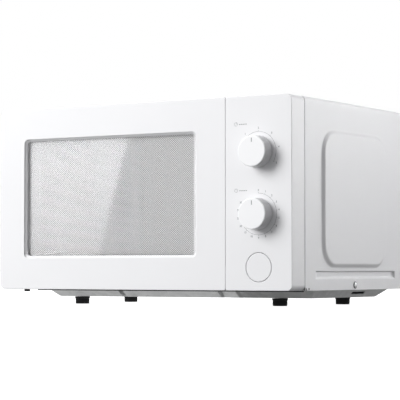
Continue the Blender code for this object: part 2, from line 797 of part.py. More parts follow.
def hinges():
    """Steel leaves fixed behind the front plate, each with a pin in the door."""
    lower, upper = hinge_heights()
    for name, middle_z, pin_side in (("lower_hinge", lower, 1), ("upper_hinge", upper, -1)):
        tongue_low = middle_z - HINGE_LEAF / 2
        tongue_high = middle_z + HINGE_LEAF / 2
        leaf_back = CABINET_FRONT_Y + 1.8
        tongue = box((HINGE_X - 5.0, HINGE_Y - 5.0, tongue_low), (HINGE_X + 4.6, leaf_back, tongue_high))
        hinge = place(name, tongue, galvanised_steel())
        leaf_low = min(middle_z - 3.0, middle_z + pin_side * HINGE_LEAF_REACH)
        leaf_high = max(middle_z + 3.0, middle_z + pin_side * HINGE_LEAF_REACH)
        leaf = box((HINGE_X - 6.0, CABINET_FRONT_Y, leaf_low), (HINGE_X + 5.4, leaf_back + 0.1, leaf_high))
        join(hinge, leaf)
        pin_low = tongue_low + 0.3 if pin_side > 0 else tongue_high - 0.3 - HINGE_PIN_LENGTH
        pin = cylinder((HINGE_X, HINGE_Y, pin_low), "+Z", HINGE_PIN_LENGTH, HINGE_PIN_RADIUS, steps=24)
        join(hinge, pin)


def door_window():
    pane = prism("Y", GLASS_FRONT_Y, GLASS_FRONT_Y + GLASS_THICKNESS, *GLASS_PANE, 8.0)
    place("door_window", pane, clear_glass(), (HINGE_X, HINGE_Y, BASE_Z))


def door_screen():
    """The pressed steel door pan with its choke rib; its middle is the perforated field."""
    pan = prism("Y", SCREEN_FRONT_Y, SCREEN_BACK_Y, *SCREEN_PAN, 8.0)
    screen = place("door_screen", pan, white_enamel(), (HINGE_X, HINGE_Y, BASE_Z))
    floor_back = SCREEN_FRONT_Y + SHEET
    cut(screen, prism("Y", floor_back, SCREEN_BACK_Y + 5, *grown(SCREEN_PAN, -SHEET), 7.2))
    rib_outside = grown(SCREEN_PAN, -2.0)
    rib_inside = grown(rib_outside, -CHOKE_RIB)
    rib_back = SCREEN_FRONT_Y + CHOKE_DEPTH
    rib_mesh = prism("Y", floor_back - 0.2, rib_back, *rib_outside, 7.0)
    rib = place("choke_rib", rib_mesh, None, collection=CUTTERS)
    hide_cutter(rib)
    cut(rib, prism("Y", SCREEN_FRONT_Y - 5, rib_back + 4, *rib_inside, 7.0))
    apply_object(screen, rib, "UNION")


def door_inner_film():
    """The clear film behind the perforated field, inside the choke rib."""
    front = SCREEN_FRONT_Y + SHEET + GAP
    outline = grown(SCREEN_PAN, -2.0 - CHOKE_RIB - 0.6)
    film = prism("Y", front, front + 0.5, *outline, 6.0)
    place("door_inner_film", film, clear_glass(), (HINGE_X, HINGE_Y, BASE_Z))


def choke_cover():
    """The plastic ring that closes the door's back around the window."""
    back = FRONT_BACK_Y - 0.4
    front = back - CHOKE_COVER_THICKNESS
    low_x, _, low_z, high_z = grown(POCKET, -0.6)
    high_x = HOOK_LOW_X - 3.1
    ring = prism("Y", front, back, low_x, high_x, low_z, high_z, 3.0)
    cover = place("choke_cover", ring, grey_plastic(), (HINGE_X, HINGE_Y, BASE_Z))
    cut(cover, prism("Y", front - 5, back + 5, *VIEW_OPENING, 6.0))


def latch_hooks():
    """One lever with two hooks that reach through the front plate."""
    origin = (HOOK_LOW_X, HOOK_BAR_BACK_Y, HOOK_HEIGHTS[0])
    bar_low = (HOOK_LOW_X, HOOK_BAR_FRONT_Y, HOOK_BAR_LOW_Z)
    bar_high = (HOOK_HIGH_X, HOOK_BAR_BACK_Y, HOOK_BAR_TOP_Z)
    lever = place("latch_hooks", box(bar_low, bar_high), white_plastic(), origin)
    for low_z in HOOK_HEIGHTS:
        arm_low = (HOOK_LOW_X, HOOK_BAR_BACK_Y - 1.0, low_z)
        arm_high = (HOOK_HIGH_X, HOOK_TIP_Y, low_z + HOOK_ARM)
        join(lever, box(arm_low, arm_high))
        nose_low = (HOOK_LOW_X, KEEPER_BACK_Y + 1.6, low_z - NOSE_DROP)
        nose_high = (HOOK_HIGH_X, HOOK_TIP_Y, low_z + 0.5)
        join(lever, box(nose_low, nose_high))


def latch_spring():
    start = ((HOOK_LOW_X + HOOK_HIGH_X) / 2, -134.0, HOOK_BAR_TOP_Z + GAP)
    length = POCKET[3] - GAP - start[2]
    coil_spring("latch_spring", start, "+Z", length, 3.0, 0.45, 7, bright_steel())


def latch_bracket():
    """The keeper: a ledge behind each slot of the front plate."""
    low = (108.6, CABINET_FRONT_Y + 0.4, 39.0)
    high = (127.0, -88.0, 232.0)
    slot_low, slot_high = KEEPER_SLOT_X
    tip_y = HOOK_TIP_Y + 6.0
    bracket = place("latch_bracket", box(low, high), white_plastic())
    for hook_z in HOOK_HEIGHTS:
        ledge_z = hook_z - NOSE_DROP - NOSE_CLEARANCE
        top_z = hook_z + HOOK_ARM + 5.0
        cut(bracket, box((slot_low, low[1] - 5, ledge_z), (slot_high, KEEPER_BACK_Y + 0.5, top_z)))
        cut(bracket, box((slot_low, KEEPER_BACK_Y, ledge_z - 4.0), (slot_high, tip_y, top_z)))
    lever_way = box((slot_low, KEEPER_BACK_Y, low[2] - 9.0), (slot_high, tip_y, low[2] + 5.0))
    cut(bracket, lever_way)


def latch_switches():
    """Three micro switches beside the keeper, each with a plunger and two terminals."""
    low_x, high_x = 127.4, 132.6
    middle_x = (low_x + high_x) / 2
    plunger_y = -106.0
    height = 11.0
    for name, low_z in SWITCH_HEIGHTS.items():
        body = prism("X", low_x, high_x, -112.0, -92.0, low_z, low_z + height, 1.0)
        switch = place(name, body, black_plastic())
        plunger_low = (middle_x - 0.8, plunger_y - 1.0, low_z - 1.4)
        plunger_high = (middle_x + 0.8, plunger_y + 1.0, low_z + 0.5)
        join(switch, box(plunger_low, plunger_high))
        terminals = bmesh.new()
        for y in (-96.0, -102.0):
            low = (middle_x - 0.4, y - 1.5, low_z + height - 1.0)
            high = (middle_x + 0.4, y + 1.5, low_z + height + 4.0)
            add_box(terminals, low, high)
        join(switch, terminals)


# ---- Control panel and its parts -------------------------------------------
def control_panel():
    """The moulded panel: hollow behind, with the button's guide tube and two shaft holes."""
    corners = (SEAM_CORNER, FACE_CORNER, FACE_CORNER, SEAM_CORNER)
    body = soft_front(FRONT_Y, FRONT_BACK_Y, PANEL_LEFT_X, RIGHT_X, BASE_Z, TOP_Z, corners, FRONT_EDGE)
    panel = place("control_panel", body, white_plastic())
    pocket = (PANEL_LEFT_X + PANEL_WALL, RIGHT_X - PANEL_WALL, BASE_Z + PANEL_WALL, TOP_Z - PANEL_WALL, 3.0)
    cut(panel, prism("Y", FRONT_Y + PANEL_SKIN, FRONT_BACK_Y + 5, *pocket))
    tube_start = (KNOB_X, FRONT_Y + PANEL_SKIN - 0.8, BUTTON_Z)
    join(panel, cylinder(tube_start, "+Y", BUTTON_TUBE_LENGTH, BUTTON_TUBE))
    cut(panel, cylinder((KNOB_X, FRONT_Y - 5, BUTTON_Z), "+Y", 20.0, BUTTON_RADIUS + 0.5))
    cut(panel, cylinder((KNOB_X, FRONT_Y + 10, BUTTON_Z), "+Y", 12.0, 5.2, steps=20))
    for height in (POWER_Z, TIMER_Z):
        cut(panel, cylinder((KNOB_X, FRONT_Y - 5, height), "+Y", 12.0, 4.2, steps=20))


def door_button():
    """A round cap on a stem that ends in a thinner tip."""
    stem_end = FRONT_Y - BUTTON_STEM_END_Y
    profile = [
        (0.0, 0.0),
        (BUTTON_RADIUS - 0.7, 0.0),
        (BUTTON_RADIUS, -0.7),
        (BUTTON_RADIUS, -BUTTON_DEPTH),
        (4.0, -BUTTON_DEPTH),
        (4.0, stem_end + 6.0),
        (2.0, stem_end + 4.0),
        (2.0, stem_end),
        (0.0, stem_end),
    ]
    turned("door_button", profile, white_plastic(), (KNOB_X, FRONT_Y, BUTTON_Z), "-Y")


def button_spring():
    start_y = FRONT_Y + BUTTON_DEPTH + 0.3
    well_floor_y = FRONT_Y + 15.0
    length = well_floor_y - 0.3 - start_y
    coil_spring("button_spring", (KNOB_X, start_y, BUTTON_Z), "+Y", length, 9.0, 0.5, 4, bright_steel())


def release_lever():
    """A bell crank: the button pushes one arm, the other lifts the hooks."""
    origin = (KNOB_X, LEVER_Y, LEVER_Z)
    rod = cylinder((111.6, LEVER_Y, LEVER_Z), "+X", 69.0, 4.0, steps=20)
    lever = place("release_lever", rod, grey_plastic(), origin)
    push_front_y = BUTTON_STEM_END_Y + 0.3
    push_low_x = KNOB_X - 5.8
    push_high_x = KNOB_X + 5.3
    foot_low = (push_low_x - 0.4, LEVER_Y - 3.0, LEVER_Z - 1.0)
    foot_high = (push_high_x + 0.4, LEVER_Y + 3.0, 46.0)
    join(lever, box(foot_low, foot_high))
    join(lever, box((push_low_x, push_front_y, 44.5), (push_high_x, LEVER_Y + 3.0, 52.5)))
    lift_front_y = LEVER_Y - 14.4
    lift_top_z = HOOK_HEIGHTS[0] - NOSE_DROP - 0.8
    join(lever, box((112.0, lift_front_y + 0.4, LEVER_Z - 2.5), (116.2, LEVER_Y, LEVER_Z + 2.5)))
    join(lever, box((112.2, lift_front_y, LEVER_Z - 1.0), (116.0, lift_front_y + 3.4, lift_top_z)))


def knob(name, height):
    """A round knob with a flat face, a soft rim and a blind hole for its shaft."""
    base = 0.5
    rim = 1.3
    rim_steps = 3
    bore = SHAFT_RADIUS + SHAFT_CLEARANCE
    profile = [(0.0, KNOB_PROUD)]
    for step in range(rim_steps + 1):
        angle = step / rim_steps * math.pi / 2
        radius = KNOB_RADIUS - 0.5 - rim + rim * math.sin(angle)
        profile.append((radius, KNOB_PROUD - rim + rim * math.cos(angle)))
    profile += [
        (KNOB_RADIUS, base + 0.4),
        (KNOB_RADIUS - 0.4, base),
        (bore, base),
        (bore, KNOB_PROUD - 5.0),
        (0.0, KNOB_PROUD - 5.0),
    ]
    turned(name, profile, white_plastic(), (KNOB_X, FRONT_Y, height), "-Y", 40)


def shaft(name, height):
    start_y = FRONT_Y - KNOB_PROUD + 5.4
    rod = cylinder((KNOB_X, start_y, height), "+Y", SHAFT_END_Y - start_y, SHAFT_RADIUS, steps=24)
    place(name, rod, bright_steel(), (KNOB_X, FRONT_Y, height))


def shaft_bore(front, height):
    """The blind hole that a control shaft turns in."""
    return cylinder((KNOB_X, front - 5, height), "+Y", 27.0, SHAFT_RADIUS + SHAFT_CLEARANCE, steps=24)


def timer_unit():
    front = FRONT_Y + PANEL_SKIN + GAP
    half = 23.0
    body = prism("Y", front, TIMER_BACK_Y, KNOB_X - half, KNOB_X + half, TIMER_Z - half, TIMER_Z + half, 3.0)
    unit = place("timer_unit", body, grey_plastic())
    cut(unit, shaft_bore(front, TIMER_Z))


def timer_bell():
    profile = [(0.0, 9.0), (12.0, 7.6), (18.0, 3.0), (18.6, 0.5), (0.0, 0.5)]
    turned("timer_bell", profile, bright_steel(), (KNOB_X, TIMER_BACK_Y, TIMER_Z), "+Y", 32)


def power_selector():
    """The rotary switch behind the power knob, with three flat terminals."""
    front = FRONT_Y + PANEL_SKIN + GAP
    outline = (KNOB_X - 20.0, KNOB_X + 20.0, POWER_Z - 17.0, POWER_Z + 17.0)
    unit = place("power_selector", prism("Y", front, SELECTOR_BACK_Y, *outline, 3.0), grey_plastic())
    cut(unit, shaft_bore(front, POWER_Z))
    terminals = bmesh.new()
    for offset in (-10.0, 0.0, 10.0):
        x = KNOB_X + offset
        low = (x - 3.0, SELECTOR_BACK_Y - 1.0, POWER_Z - 0.4)
        high = (x + 3.0, SELECTOR_BACK_Y + 8.0, POWER_Z + 0.4)
        add_box(terminals, low, high)
    join(unit, terminals)


# ---- Turntable -------------------------------------------------------------
def glass_turntable():
    """A shallow dish with a raised rim."""
    bottom = GLASS_BOTTOM_Z
    top = bottom + GLASS_RIM_HEIGHT
    floor = bottom + 4.5
    profile = [
        (0.0, floor),
        (96.0, floor),
        (108.0, floor + 2.5),
        (GLASS_RADIUS - 4.0, top),
        (GLASS_RADIUS - 1.0, top),
        (GLASS_RADIUS, top - 1.5),
        (110.0, bottom + 2.0),
        (98.0, bottom),
        (0.0, bottom),
    ]
    turned("glass_turntable", profile, clear_glass(), (CAVITY_MIDDLE_X, TURNTABLE_Y, 0.0), "+Z", 48)


def turntable_coupler():
    """The three-lobed driver between the motor's socket and the glass."""
    hub_z = CAVITY_FLOOR_Z + 1.0
    lobe_z = hub_z + 2.0
    top_z = GLASS_BOTTOM_Z - GAP
    lobe_offset = 9.0
    origin = (CAVITY_MIDDLE_X, TURNTABLE_Y, hub_z + 1.0)
    stem = cylinder((CAVITY_MIDDLE_X, TURNTABLE_Y, 24.0), "+Z", 18.0, 3.0, steps=20)
    coupler = place("turntable_coupler", stem, white_plastic(), origin)
    join(coupler, cylinder((CAVITY_MIDDLE_X, TURNTABLE_Y, hub_z), "+Z", top_z - hub_z, 7.5, steps=24))
    for lobe in range(3):
        angle = lobe / 3 * TAU
        x = CAVITY_MIDDLE_X + lobe_offset * math.cos(angle)
        y = TURNTABLE_Y + lobe_offset * math.sin(angle)
        join(coupler, cylinder((x, y, lobe_z), "+Z", top_z - 0.2 - lobe_z, 4.2, steps=16))


def roller_angles():
    return [math.pi / 2 + index * TAU / ROLLER_COUNT for index in range(ROLLER_COUNT)]


def radial_matrix(angle, radius, height):
    """Places +Z of a shape along the outward radius of the turntable."""
    start = (CAVITY_MIDDLE_X + radius * math.cos(angle), TURNTABLE_Y + radius * math.sin(angle), height)
    return Matrix.Translation(start) @ Matrix.Rotation(angle, 4, "Z") @ Matrix.Rotation(math.pi / 2, 4, "Y")


def roller_ring():
    """The carrier ring with one radial axle and end cap for each roller."""
    half_height = 2.4
    low = ROLLER_AXIS_Z - half_height
    outer = ROLLER_TRACK - 9.0
    inner = ROLLER_TRACK - 16.0
    axle_radius = 1.6
    axle_end = 17.0
    centre = (CAVITY_MIDDLE_X, TURNTABLE_Y, low)
    disc = cylinder(centre, "+Z", 2 * half_height, outer, steps=48)
    ring = place("roller_ring", disc, white_plastic(), centre)
    cut(ring, cylinder((CAVITY_MIDDLE_X, TURNTABLE_Y, low - 5), "+Z", 15.0, inner, steps=48))
    axle_profile = [(axle_radius, 0.0), (axle_radius, axle_end), (2.8, axle_end), (2.4, axle_end + 1.4)]
    for angle in roller_angles():
        join(ring, lathe(axle_profile, radial_matrix(angle, outer - 3.0, ROLLER_AXIS_Z), 16))


def centred_cylinder(matrix, radius, length, steps):
    """A cylinder whose middle is at matrix and whose axis is the matrix's Z."""
    mesh = bmesh.new()
    bmesh.ops.create_cone(
        mesh, cap_ends=True, segments=steps, radius1=radius, radius2=radius, depth=length, matrix=matrix
    )
    return mesh


def rollers():
    """The wheels of the ring, each with a bore for its axle."""
    for index, angle in enumerate(roller_angles()):
        matrix = radial_matrix(angle, ROLLER_TRACK, ROLLER_AXIS_Z)
        wheel = centred_cylinder(matrix, ROLLER_RADIUS, 7.0, 32)
        roller = place("roller_%d" % (index + 1), wheel, white_plastic(), tuple(matrix.translation))
        cut(roller, centred_cylinder(matrix, 2.0, 20.0, 16))


def turntable_motor():
    """A flat can under the well with a socket for the driver and two fixing ears."""
    radius = 25.0
    low_z = BASE_Z - 6.0
    ear_low = 32.2
    ear_high = ear_low + 1.0
    can = cylinder((CAVITY_MIDDLE_X, TURNTABLE_Y, low_z), "+Z", 19.4, radius)
    motor = place("turntable_motor", can, galvanised_steel())
    cut(motor, cylinder((CAVITY_MIDDLE_X, TURNTABLE_Y, 23.0), "+Z", 20.0, 3.4, steps=20))
    ears = bmesh.new()
    for side in (-1, 1):
        near = CAVITY_MIDDLE_X + side * (radius - 2.0)
        far = CAVITY_MIDDLE_X + side * (radius + 6.0)
        low = (min(near, far), TURNTABLE_Y - 5.0, ear_low)
        high = (max(near, far), TURNTABLE_Y + 5.0, ear_high)
        add_box(ears, low, high)
    join(motor, ears)


# ---- Power supply, magnetron, fan ------------------------------------------
def magnetron():
    """The finned tube inside its steel yoke, with the filter box at the outer end."""
    yoke = place("magnetron_yoke", block("Y", YOKE_BOX, 1.0), galvanised_steel())
    low_x, high_x, low_y, high_y, low_z, high_z = YOKE_BOX
    section = grown((low_x, high_x, low_z, high_z), -YOKE_WALL)
    cut(yoke, prism("Y", low_y - 5, high_y + 5, *section, 0.8))
    cut(yoke, cylinder((low_x - 3.2, ANTENNA_Y, ANTENNA_Z), "+X", 8.0, ANTENNA_HOLE, steps=24))
    join(yoke, block("X", FILTER_BOX, 3.0))
    antenna = cylinder((low_x - 19.2, ANTENNA_Y, ANTENNA_Z), "+X", 25.0, 9.0, steps=24)
    tube = place("magnetron_tube", antenna, aluminium())
    anode_x = low_x + 2.8
    join(tube, cylinder((anode_x, ANTENNA_Y, ANTENNA_Z), "+X", 37.5, 17.0, steps=24))
    fin_count = 5
    fin_pitch = 7.5
    fin_half = (30.0, 28.0)
    for fin in range(fin_count):
        x = anode_x + 3.0 + fin * fin_pitch
        low = (x, ANTENNA_Y - fin_half[0], ANTENNA_Z - fin_half[1])
        high = (x + 1.0, ANTENNA_Y + fin_half[0], ANTENNA_Z + fin_half[1])
        join(tube, box(low, high))


def transformer():
    """A laminated core with two windows, and one winding round its middle leg."""
    low_x, high_x, low_y, high_y, low_z, _ = CORE_BOX
    window_z = (24.0, 56.0)
    window_width = 14.0
    window_lows = (low_x + 9.0, high_x - 9.0 - window_width)
    core = place("transformer_core", block("Z", CORE_BOX, 1.0), core_steel())
    windows = bmesh.new()
    for window_x in window_lows:
        low = (window_x, low_y - 6, window_z[0])
        high = (window_x + window_width, high_y + 8, window_z[1])
        add_box(windows, low, high)
    cut(core, windows)
    coil = (window_lows[0] + 0.5, window_lows[1] + window_width - 0.5, low_y - 10.0, high_y + 10.0)
    winding = prism("Z", window_z[0] + 0.5, window_z[1] - 0.5, *coil, 6.0)
    winding_item = place("transformer_winding", winding, copper_wire())
    leg_low = (window_lows[0] + window_width - 0.5, low_y - 0.5, low_z - 1.3)
    leg_high = (window_lows[1] + 0.5, high_y + 0.5, 80.0)
    cut(winding_item, box(leg_low, leg_high))


def capacitor():
    """An oval can with two flat terminals, held by a steel strap with one ear."""
    low_x, high_x, low_y, high_y, _, top_z = CAPACITOR_BOX
    can = place("hv_capacitor", block("Z", CAPACITOR_BOX, 15.5), aluminium())
    middle_y = (low_y + high_y) / 2
    terminals = bmesh.new()
    for offset in (-11.0, 11.0):
        x = (low_x + high_x) / 2 + offset
        add_box(terminals, (x - 3.0, middle_y - 0.4, top_z - 0.5), (x + 3.0, middle_y + 0.4, top_z + 9.0))
    join(can, terminals)
    inner = grown((low_x, high_x, low_y, high_y), GAP)
    outer = grown(inner, 0.6)
    strap_z = (40.0, 54.0)
    clamp = place("capacitor_clamp", prism("Z", *strap_z, *outer, 16.5), galvanised_steel())
    cut(clamp, prism("Z", strap_z[0] - 5, strap_z[1] + 6, *inner, 15.9))
    ear_low = (outer[1] - 0.4, middle_y - 4.0, strap_z[0])
    ear_high = (outer[1] + 11.0, middle_y - 2.6, strap_z[1])
    join(clamp, box(ear_low, ear_high))


def hv_diode():
    """A rod-shaped diode on the base with one lead."""
    start = (140.0, -8.0, FLOOR_PART_Z + 6.7)
    body_length = 20.0
    diode = place("hv_diode", cylinder(start, "+X", body_length, 3.6, steps=16), black_plastic())
    lead_start = (start[0] + body_length - 1.0, start[1], start[2])
    join(diode, cylinder(lead_start, "+X", 14.0, 0.8, steps=8))


def fan_shroud():
    """The plate with a short round duct in which the fan turns."""
    half = 53.0
    outline = (FAN_X - half + 1.0, FAN_X + half - 1.0, FAN_Z - half + 1.0, FAN_Z + half + 1.0)
    plate = prism("Y", SHROUD_BACK_Y - 2.0, SHROUD_BACK_Y, *outline, 6.0)
    shroud = place("fan_shroud", plate, grey_plastic())
    join(shroud, cylinder((FAN_X, SHROUD_FRONT_Y, FAN_Z), "+Y", 11.0, FAN_RADIUS + 5.0))
    cut(shroud, cylinder((FAN_X, SHROUD_FRONT_Y - 5, FAN_Z), "+Y", 30.0, FAN_RADIUS + 3.0))


def fan_blade():
    """A hub with pitched flat vanes, bored for the motor's shaft."""
    hub_start = (FAN_X, SHROUD_FRONT_Y + 1.0, FAN_Z)
    hub_length = 11.0
    hub = cylinder(hub_start, "+Y", hub_length, FAN_HUB_RADIUS, steps=24)
    blade = place("fan_blade", hub, black_plastic(), hub_start)
    vane_root = FAN_HUB_RADIUS - 2.0
    size = Matrix.Diagonal((FAN_RADIUS - vane_root, 1.4, 20.0, 1.0))
    reach = Matrix.Translation(((FAN_RADIUS + vane_root) / 2, 0.0, 0.0))
    pitch = Matrix.Rotation(math.radians(36), 4, "X")
    middle = Matrix.Translation((FAN_X, hub_start[1] + hub_length / 2, FAN_Z))
    for index in range(FAN_BLADES):
        spin = Matrix.Rotation(index * TAU / FAN_BLADES, 4, "Y")
        vane = bmesh.new()
        bmesh.ops.create_cube(vane, size=1.0, matrix=middle @ spin @ reach @ pitch @ size)
        join(blade, vane)
    cut(blade, cylinder((FAN_X, SHROUD_FRONT_Y - 6, FAN_Z), "+Y", 30.0, 2.4, steps=16))


def fan_motor():
    """The motor block between the fan and the rear wall, with bearing and shaft."""
    front_y = 143.0
    outline = (FAN_X - 18.0, FAN_X + 18.0, FAN_Z - 22.0, FAN_Z + 22.0)
    motor = place("fan_motor", prism("Y", front_y, front_y + 15.0, *outline, 2.0), core_steel())
    join(motor, cylinder((FAN_X, SHROUD_FRONT_Y + 2.0, FAN_Z), "+Y", 16.0, 2.0, steps=16))
    join(motor, cylinder((FAN_X, front_y - 3.0, FAN_Z), "+Y", 4.0, 9.0, steps=20))


def air_duct():
    """The plastic duct from the magnetron to the cavity's side wall."""
    duct = place("air_duct", block("Y", DUCT_BOX, 3.0), white_plastic())
    low_x, high_x, low_y, high_y, low_z, high_z = DUCT_BOX
    section = grown((low_x, high_x, low_z, high_z), -DUCT_WALL)
    cut(duct, prism("Y", low_y + DUCT_WALL, high_y + 6, *section, 1.6))
    outlet_low = (low_x - 7, low_y + 4.0, low_z + 9.0)
    outlet_high = (low_x + 8, low_y + 28.0, high_z - 9.0)
    cut(duct, box(outlet_low, outlet_high))


def lamp():
    """The bulb and its socket beside the cavity's lamp holes."""
    x = 121.0
    half = 10.0
    socket = prism("Y", LAMP_Y - 16.0, LAMP_Y, x - half, x + half, LAMP_Z - half, LAMP_Z + half, 3.0)
    place("lamp_socket", socket, white_plastic())
    length = 29.0
    neck = 5.0
    dome_radius = 8.6
    dome_steps = 8
    profile = [(0.0, length)]
    for step in range(1, dome_steps - 1):
        angle = step / dome_steps * math.pi
        height = length - dome_radius + dome_radius * math.cos(angle)
        profile.append((dome_radius * math.sin(angle), height))
    profile += [(neck, 8.0), (neck, GAP), (0.0, GAP)]
    turned("lamp_bulb", profile, clear_glass(), (x, LAMP_Y, LAMP_Z), "+Y", 24)


def thermal_cutout():
    profile = [(0.0, 8.0), (4.0, 8.0), (4.0, 4.5), (9.0, 4.5), (9.0, 0.5), (0.0, 0.5)]
    turned("thermal_cutout", profile, black_plastic(), (CAVITY_RIGHT_X + SHEET, -4.0, 120.0), "+X", 24)


def filter_board():
    """The mains filter: a board with a choke and a capacitor below, and a fuse on top."""
    low_x, _, low_y, _, low_z, top_z = BOARD_BOX
    board = place("filter_board", block("Z", BOARD_BOX, 2.0), board_green())
    join(board, cylinder((low_x + 54.0, low_y + 46.0, low_z - 10.0), "+Z", 10.5, 9.0, steps=20))
    join(board, box((low_x + 14.0, low_y + 36.0, low_z - 11.0), (low_x + 34.0, low_y + 54.0, low_z + 0.5)))
    fuse_x = low_x + 16.0
    fuse_y = low_y + 14.0
    fuse_length = 22.0
    clip_width = 4.0
    join(board, cylinder((fuse_x, fuse_y, top_z + 3.6), "+X", fuse_length, 2.8, steps=16))
    for x in (fuse_x + 1.0, fuse_x + fuse_length - 1.0 - clip_width):
        join(board, box((x, fuse_y - 2.0, top_z - 1.1), (x + clip_width, fuse_y + 2.0, top_z + 2.4)))


# ---- Assembly --------------------------------------------------------------
def build():
    outer_cabinet()
    front_plate()
    base_pan()
    rear_panel()
    cord_gland()
    side_screws()
    feet()
    oven_cavity()
    waveguide()
    waveguide_cover()
    door_frame()
    hinges()
    door_window()
    door_screen()
    door_inner_film()
    choke_cover()
    latch_hooks()
    latch_spring()
    latch_bracket()
    latch_switches()
    control_panel()
    door_button()
    button_spring()
    release_lever()
    knob("power_knob", POWER_Z)
    knob("timer_knob", TIMER_Z)
    shaft("power_shaft", POWER_Z)
    shaft("timer_shaft", TIMER_Z)
    timer_unit()
    timer_bell()
    power_selector()
    glass_turntable()
    turntable_coupler()
    roller_ring()
    rollers()
    turntable_motor()
    magnetron()
    transformer()
    capacitor()
    hv_diode()
    fan_shroud()
    fan_blade()
    fan_motor()
    air_duct()
    lamp()
    thermal_cutout()
    filter_board()


build()
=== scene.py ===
"""The looks of a white countertop microwave oven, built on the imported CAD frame.

Lengths are millimetres in the frame's own axes, X right, Y back and Z up, unless
a comment says metres. MM turns them into metres where a mesh is made.
"""

import json
import math

import bmesh
import bpy
from mathutils import Matrix, Vector


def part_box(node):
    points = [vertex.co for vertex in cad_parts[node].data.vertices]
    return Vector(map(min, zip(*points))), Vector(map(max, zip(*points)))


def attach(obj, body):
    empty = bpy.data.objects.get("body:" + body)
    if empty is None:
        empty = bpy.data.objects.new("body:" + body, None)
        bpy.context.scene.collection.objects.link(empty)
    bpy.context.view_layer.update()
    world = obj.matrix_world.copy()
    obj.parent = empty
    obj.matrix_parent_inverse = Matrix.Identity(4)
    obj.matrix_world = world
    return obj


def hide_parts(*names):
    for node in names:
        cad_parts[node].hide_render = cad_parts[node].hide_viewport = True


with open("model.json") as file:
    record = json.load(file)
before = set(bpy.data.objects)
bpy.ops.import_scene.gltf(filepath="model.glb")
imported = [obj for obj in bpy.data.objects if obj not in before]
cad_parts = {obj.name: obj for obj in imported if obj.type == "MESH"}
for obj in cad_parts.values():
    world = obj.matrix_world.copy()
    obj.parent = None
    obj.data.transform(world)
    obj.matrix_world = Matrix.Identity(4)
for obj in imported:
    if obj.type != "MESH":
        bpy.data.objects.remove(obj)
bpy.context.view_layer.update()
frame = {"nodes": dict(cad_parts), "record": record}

MM = 0.001
TAU = 2.0 * math.pi


def node_box(name):
    """Lowest and highest corner of a CAD node, in millimetres."""
    low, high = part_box(name)
    return low / MM, high / MM


def node_middle(name):
    """The middle of a CAD node's box, in millimetres."""
    low, high = node_box(name)
    return (low + high) / 2


# ---- Sizes taken from the frame --------------------------------------------
DOOR_LOW, DOOR_HIGH = node_box("door_frame")
PANEL_LOW, PANEL_HIGH = node_box("control_panel")
PAN_LOW, PAN_HIGH = node_box("base_pan")
BUTTON_LOW, BUTTON_HIGH = node_box("door_button")
CABINET_BACK_Y = node_box("outer_cabinet")[1].y
PLATE_BACK_Y = node_box("front_plate")[1].y
KNOB_FACE_Y = node_box("power_knob")[0].y
FRONT_Y = DOOR_LOW.y
BACK_Y = DOOR_HIGH.y
LEFT_X = DOOR_LOW.x
RIGHT_X = PANEL_HIGH.x
BASE_Z = DOOR_LOW.z
TOP_Z = DOOR_HIGH.z
SEAM_X = (DOOR_HIGH.x + PANEL_LOW.x) / 2
BUTTON_X, _, BUTTON_Z = node_middle("door_button")
BUTTON_RADIUS = (BUTTON_HIGH.x - BUTTON_LOW.x) / 2

# ---- General ---------------------------------------------------------------
SHEET = 0.8
CUT_MARGIN = 5.0
EDGE_BREAK = 0.3
RIM_FLAT = 0.4

# ---- Door: rectangles are low x, high x, low z, high z ---------------------
FACE_CORNER = 7.0
SEAM_CORNER = 2.5
SEAM_GAP = 0.4
SEAM_EDGE_SHARE = 0.45
FRONT_EDGE = 0.8
HINGE_ROUND = 11.8
WINDOW = (LEFT_X + 39.6, LEFT_X + 306.0, BASE_Z + 40.2, BASE_Z + 195.4)
WINDOW_CORNER = 6.5
WINDOW_LIP = 0.5
WINDOW_CHAMFER = 3.2
DOOR_SKIN = 5.6
# The chamfer's foot: depth from the face, distance outside the wall, corner radius taken off.
WINDOW_FOOT = ((2.8, 0.5, 1.6), (3.3, 0.1, 1.9), (3.8, 0.0, 2.0), (DOOR_SKIN, 0.0, 2.0))
POCKET = (LEFT_X + 24.0, DOOR_HIGH.x - 6.2, BASE_Z + 9.0, TOP_Z - 9.0)
POCKET_CORNER = 3.0
POCKET_LEAD_IN = 0.8
HINGE_NOTCHES_Z = {"lower_hinge": BASE_Z + 7.0, "upper_hinge": TOP_Z - 7.0}
HINGE_NOTCH_HALF = 1.8
HINGE_NOTCH_REACH = 21.0
HINGE_NOTCH_AHEAD = 3.5
GLASS_CORNER = 8.0
GLASS_EDGE = 0.4

# ---- Door screen -----------------------------------------------------------
FIELD = (LEFT_X + 43.0, LEFT_X + 297.5, BASE_Z + 41.0, BASE_Z + 192.6)
FIELD_CORNER = 2.0
FIELD_OVERLAP = 1.2
HOLE_STEP_X = 1.60
HOLE_STEP_Z = 1.40
HOLE_RADIUS = 0.80
HOLE_SIDES = 8
HOLE_SHEET = (0.1, 0.4)
SCREEN_CORNER = 8.0
SCREEN_BEND = 2.0
SCREEN_BREAK = 0.6
CHOKE_MARGIN = 6.5
CHOKE_LIP = 2.0
CHOKE_RIM = 8.0
CHOKE_CORNER = 6.0
CHOKE_FLOOR = 6.0
CHOKE_BACK = 9.0

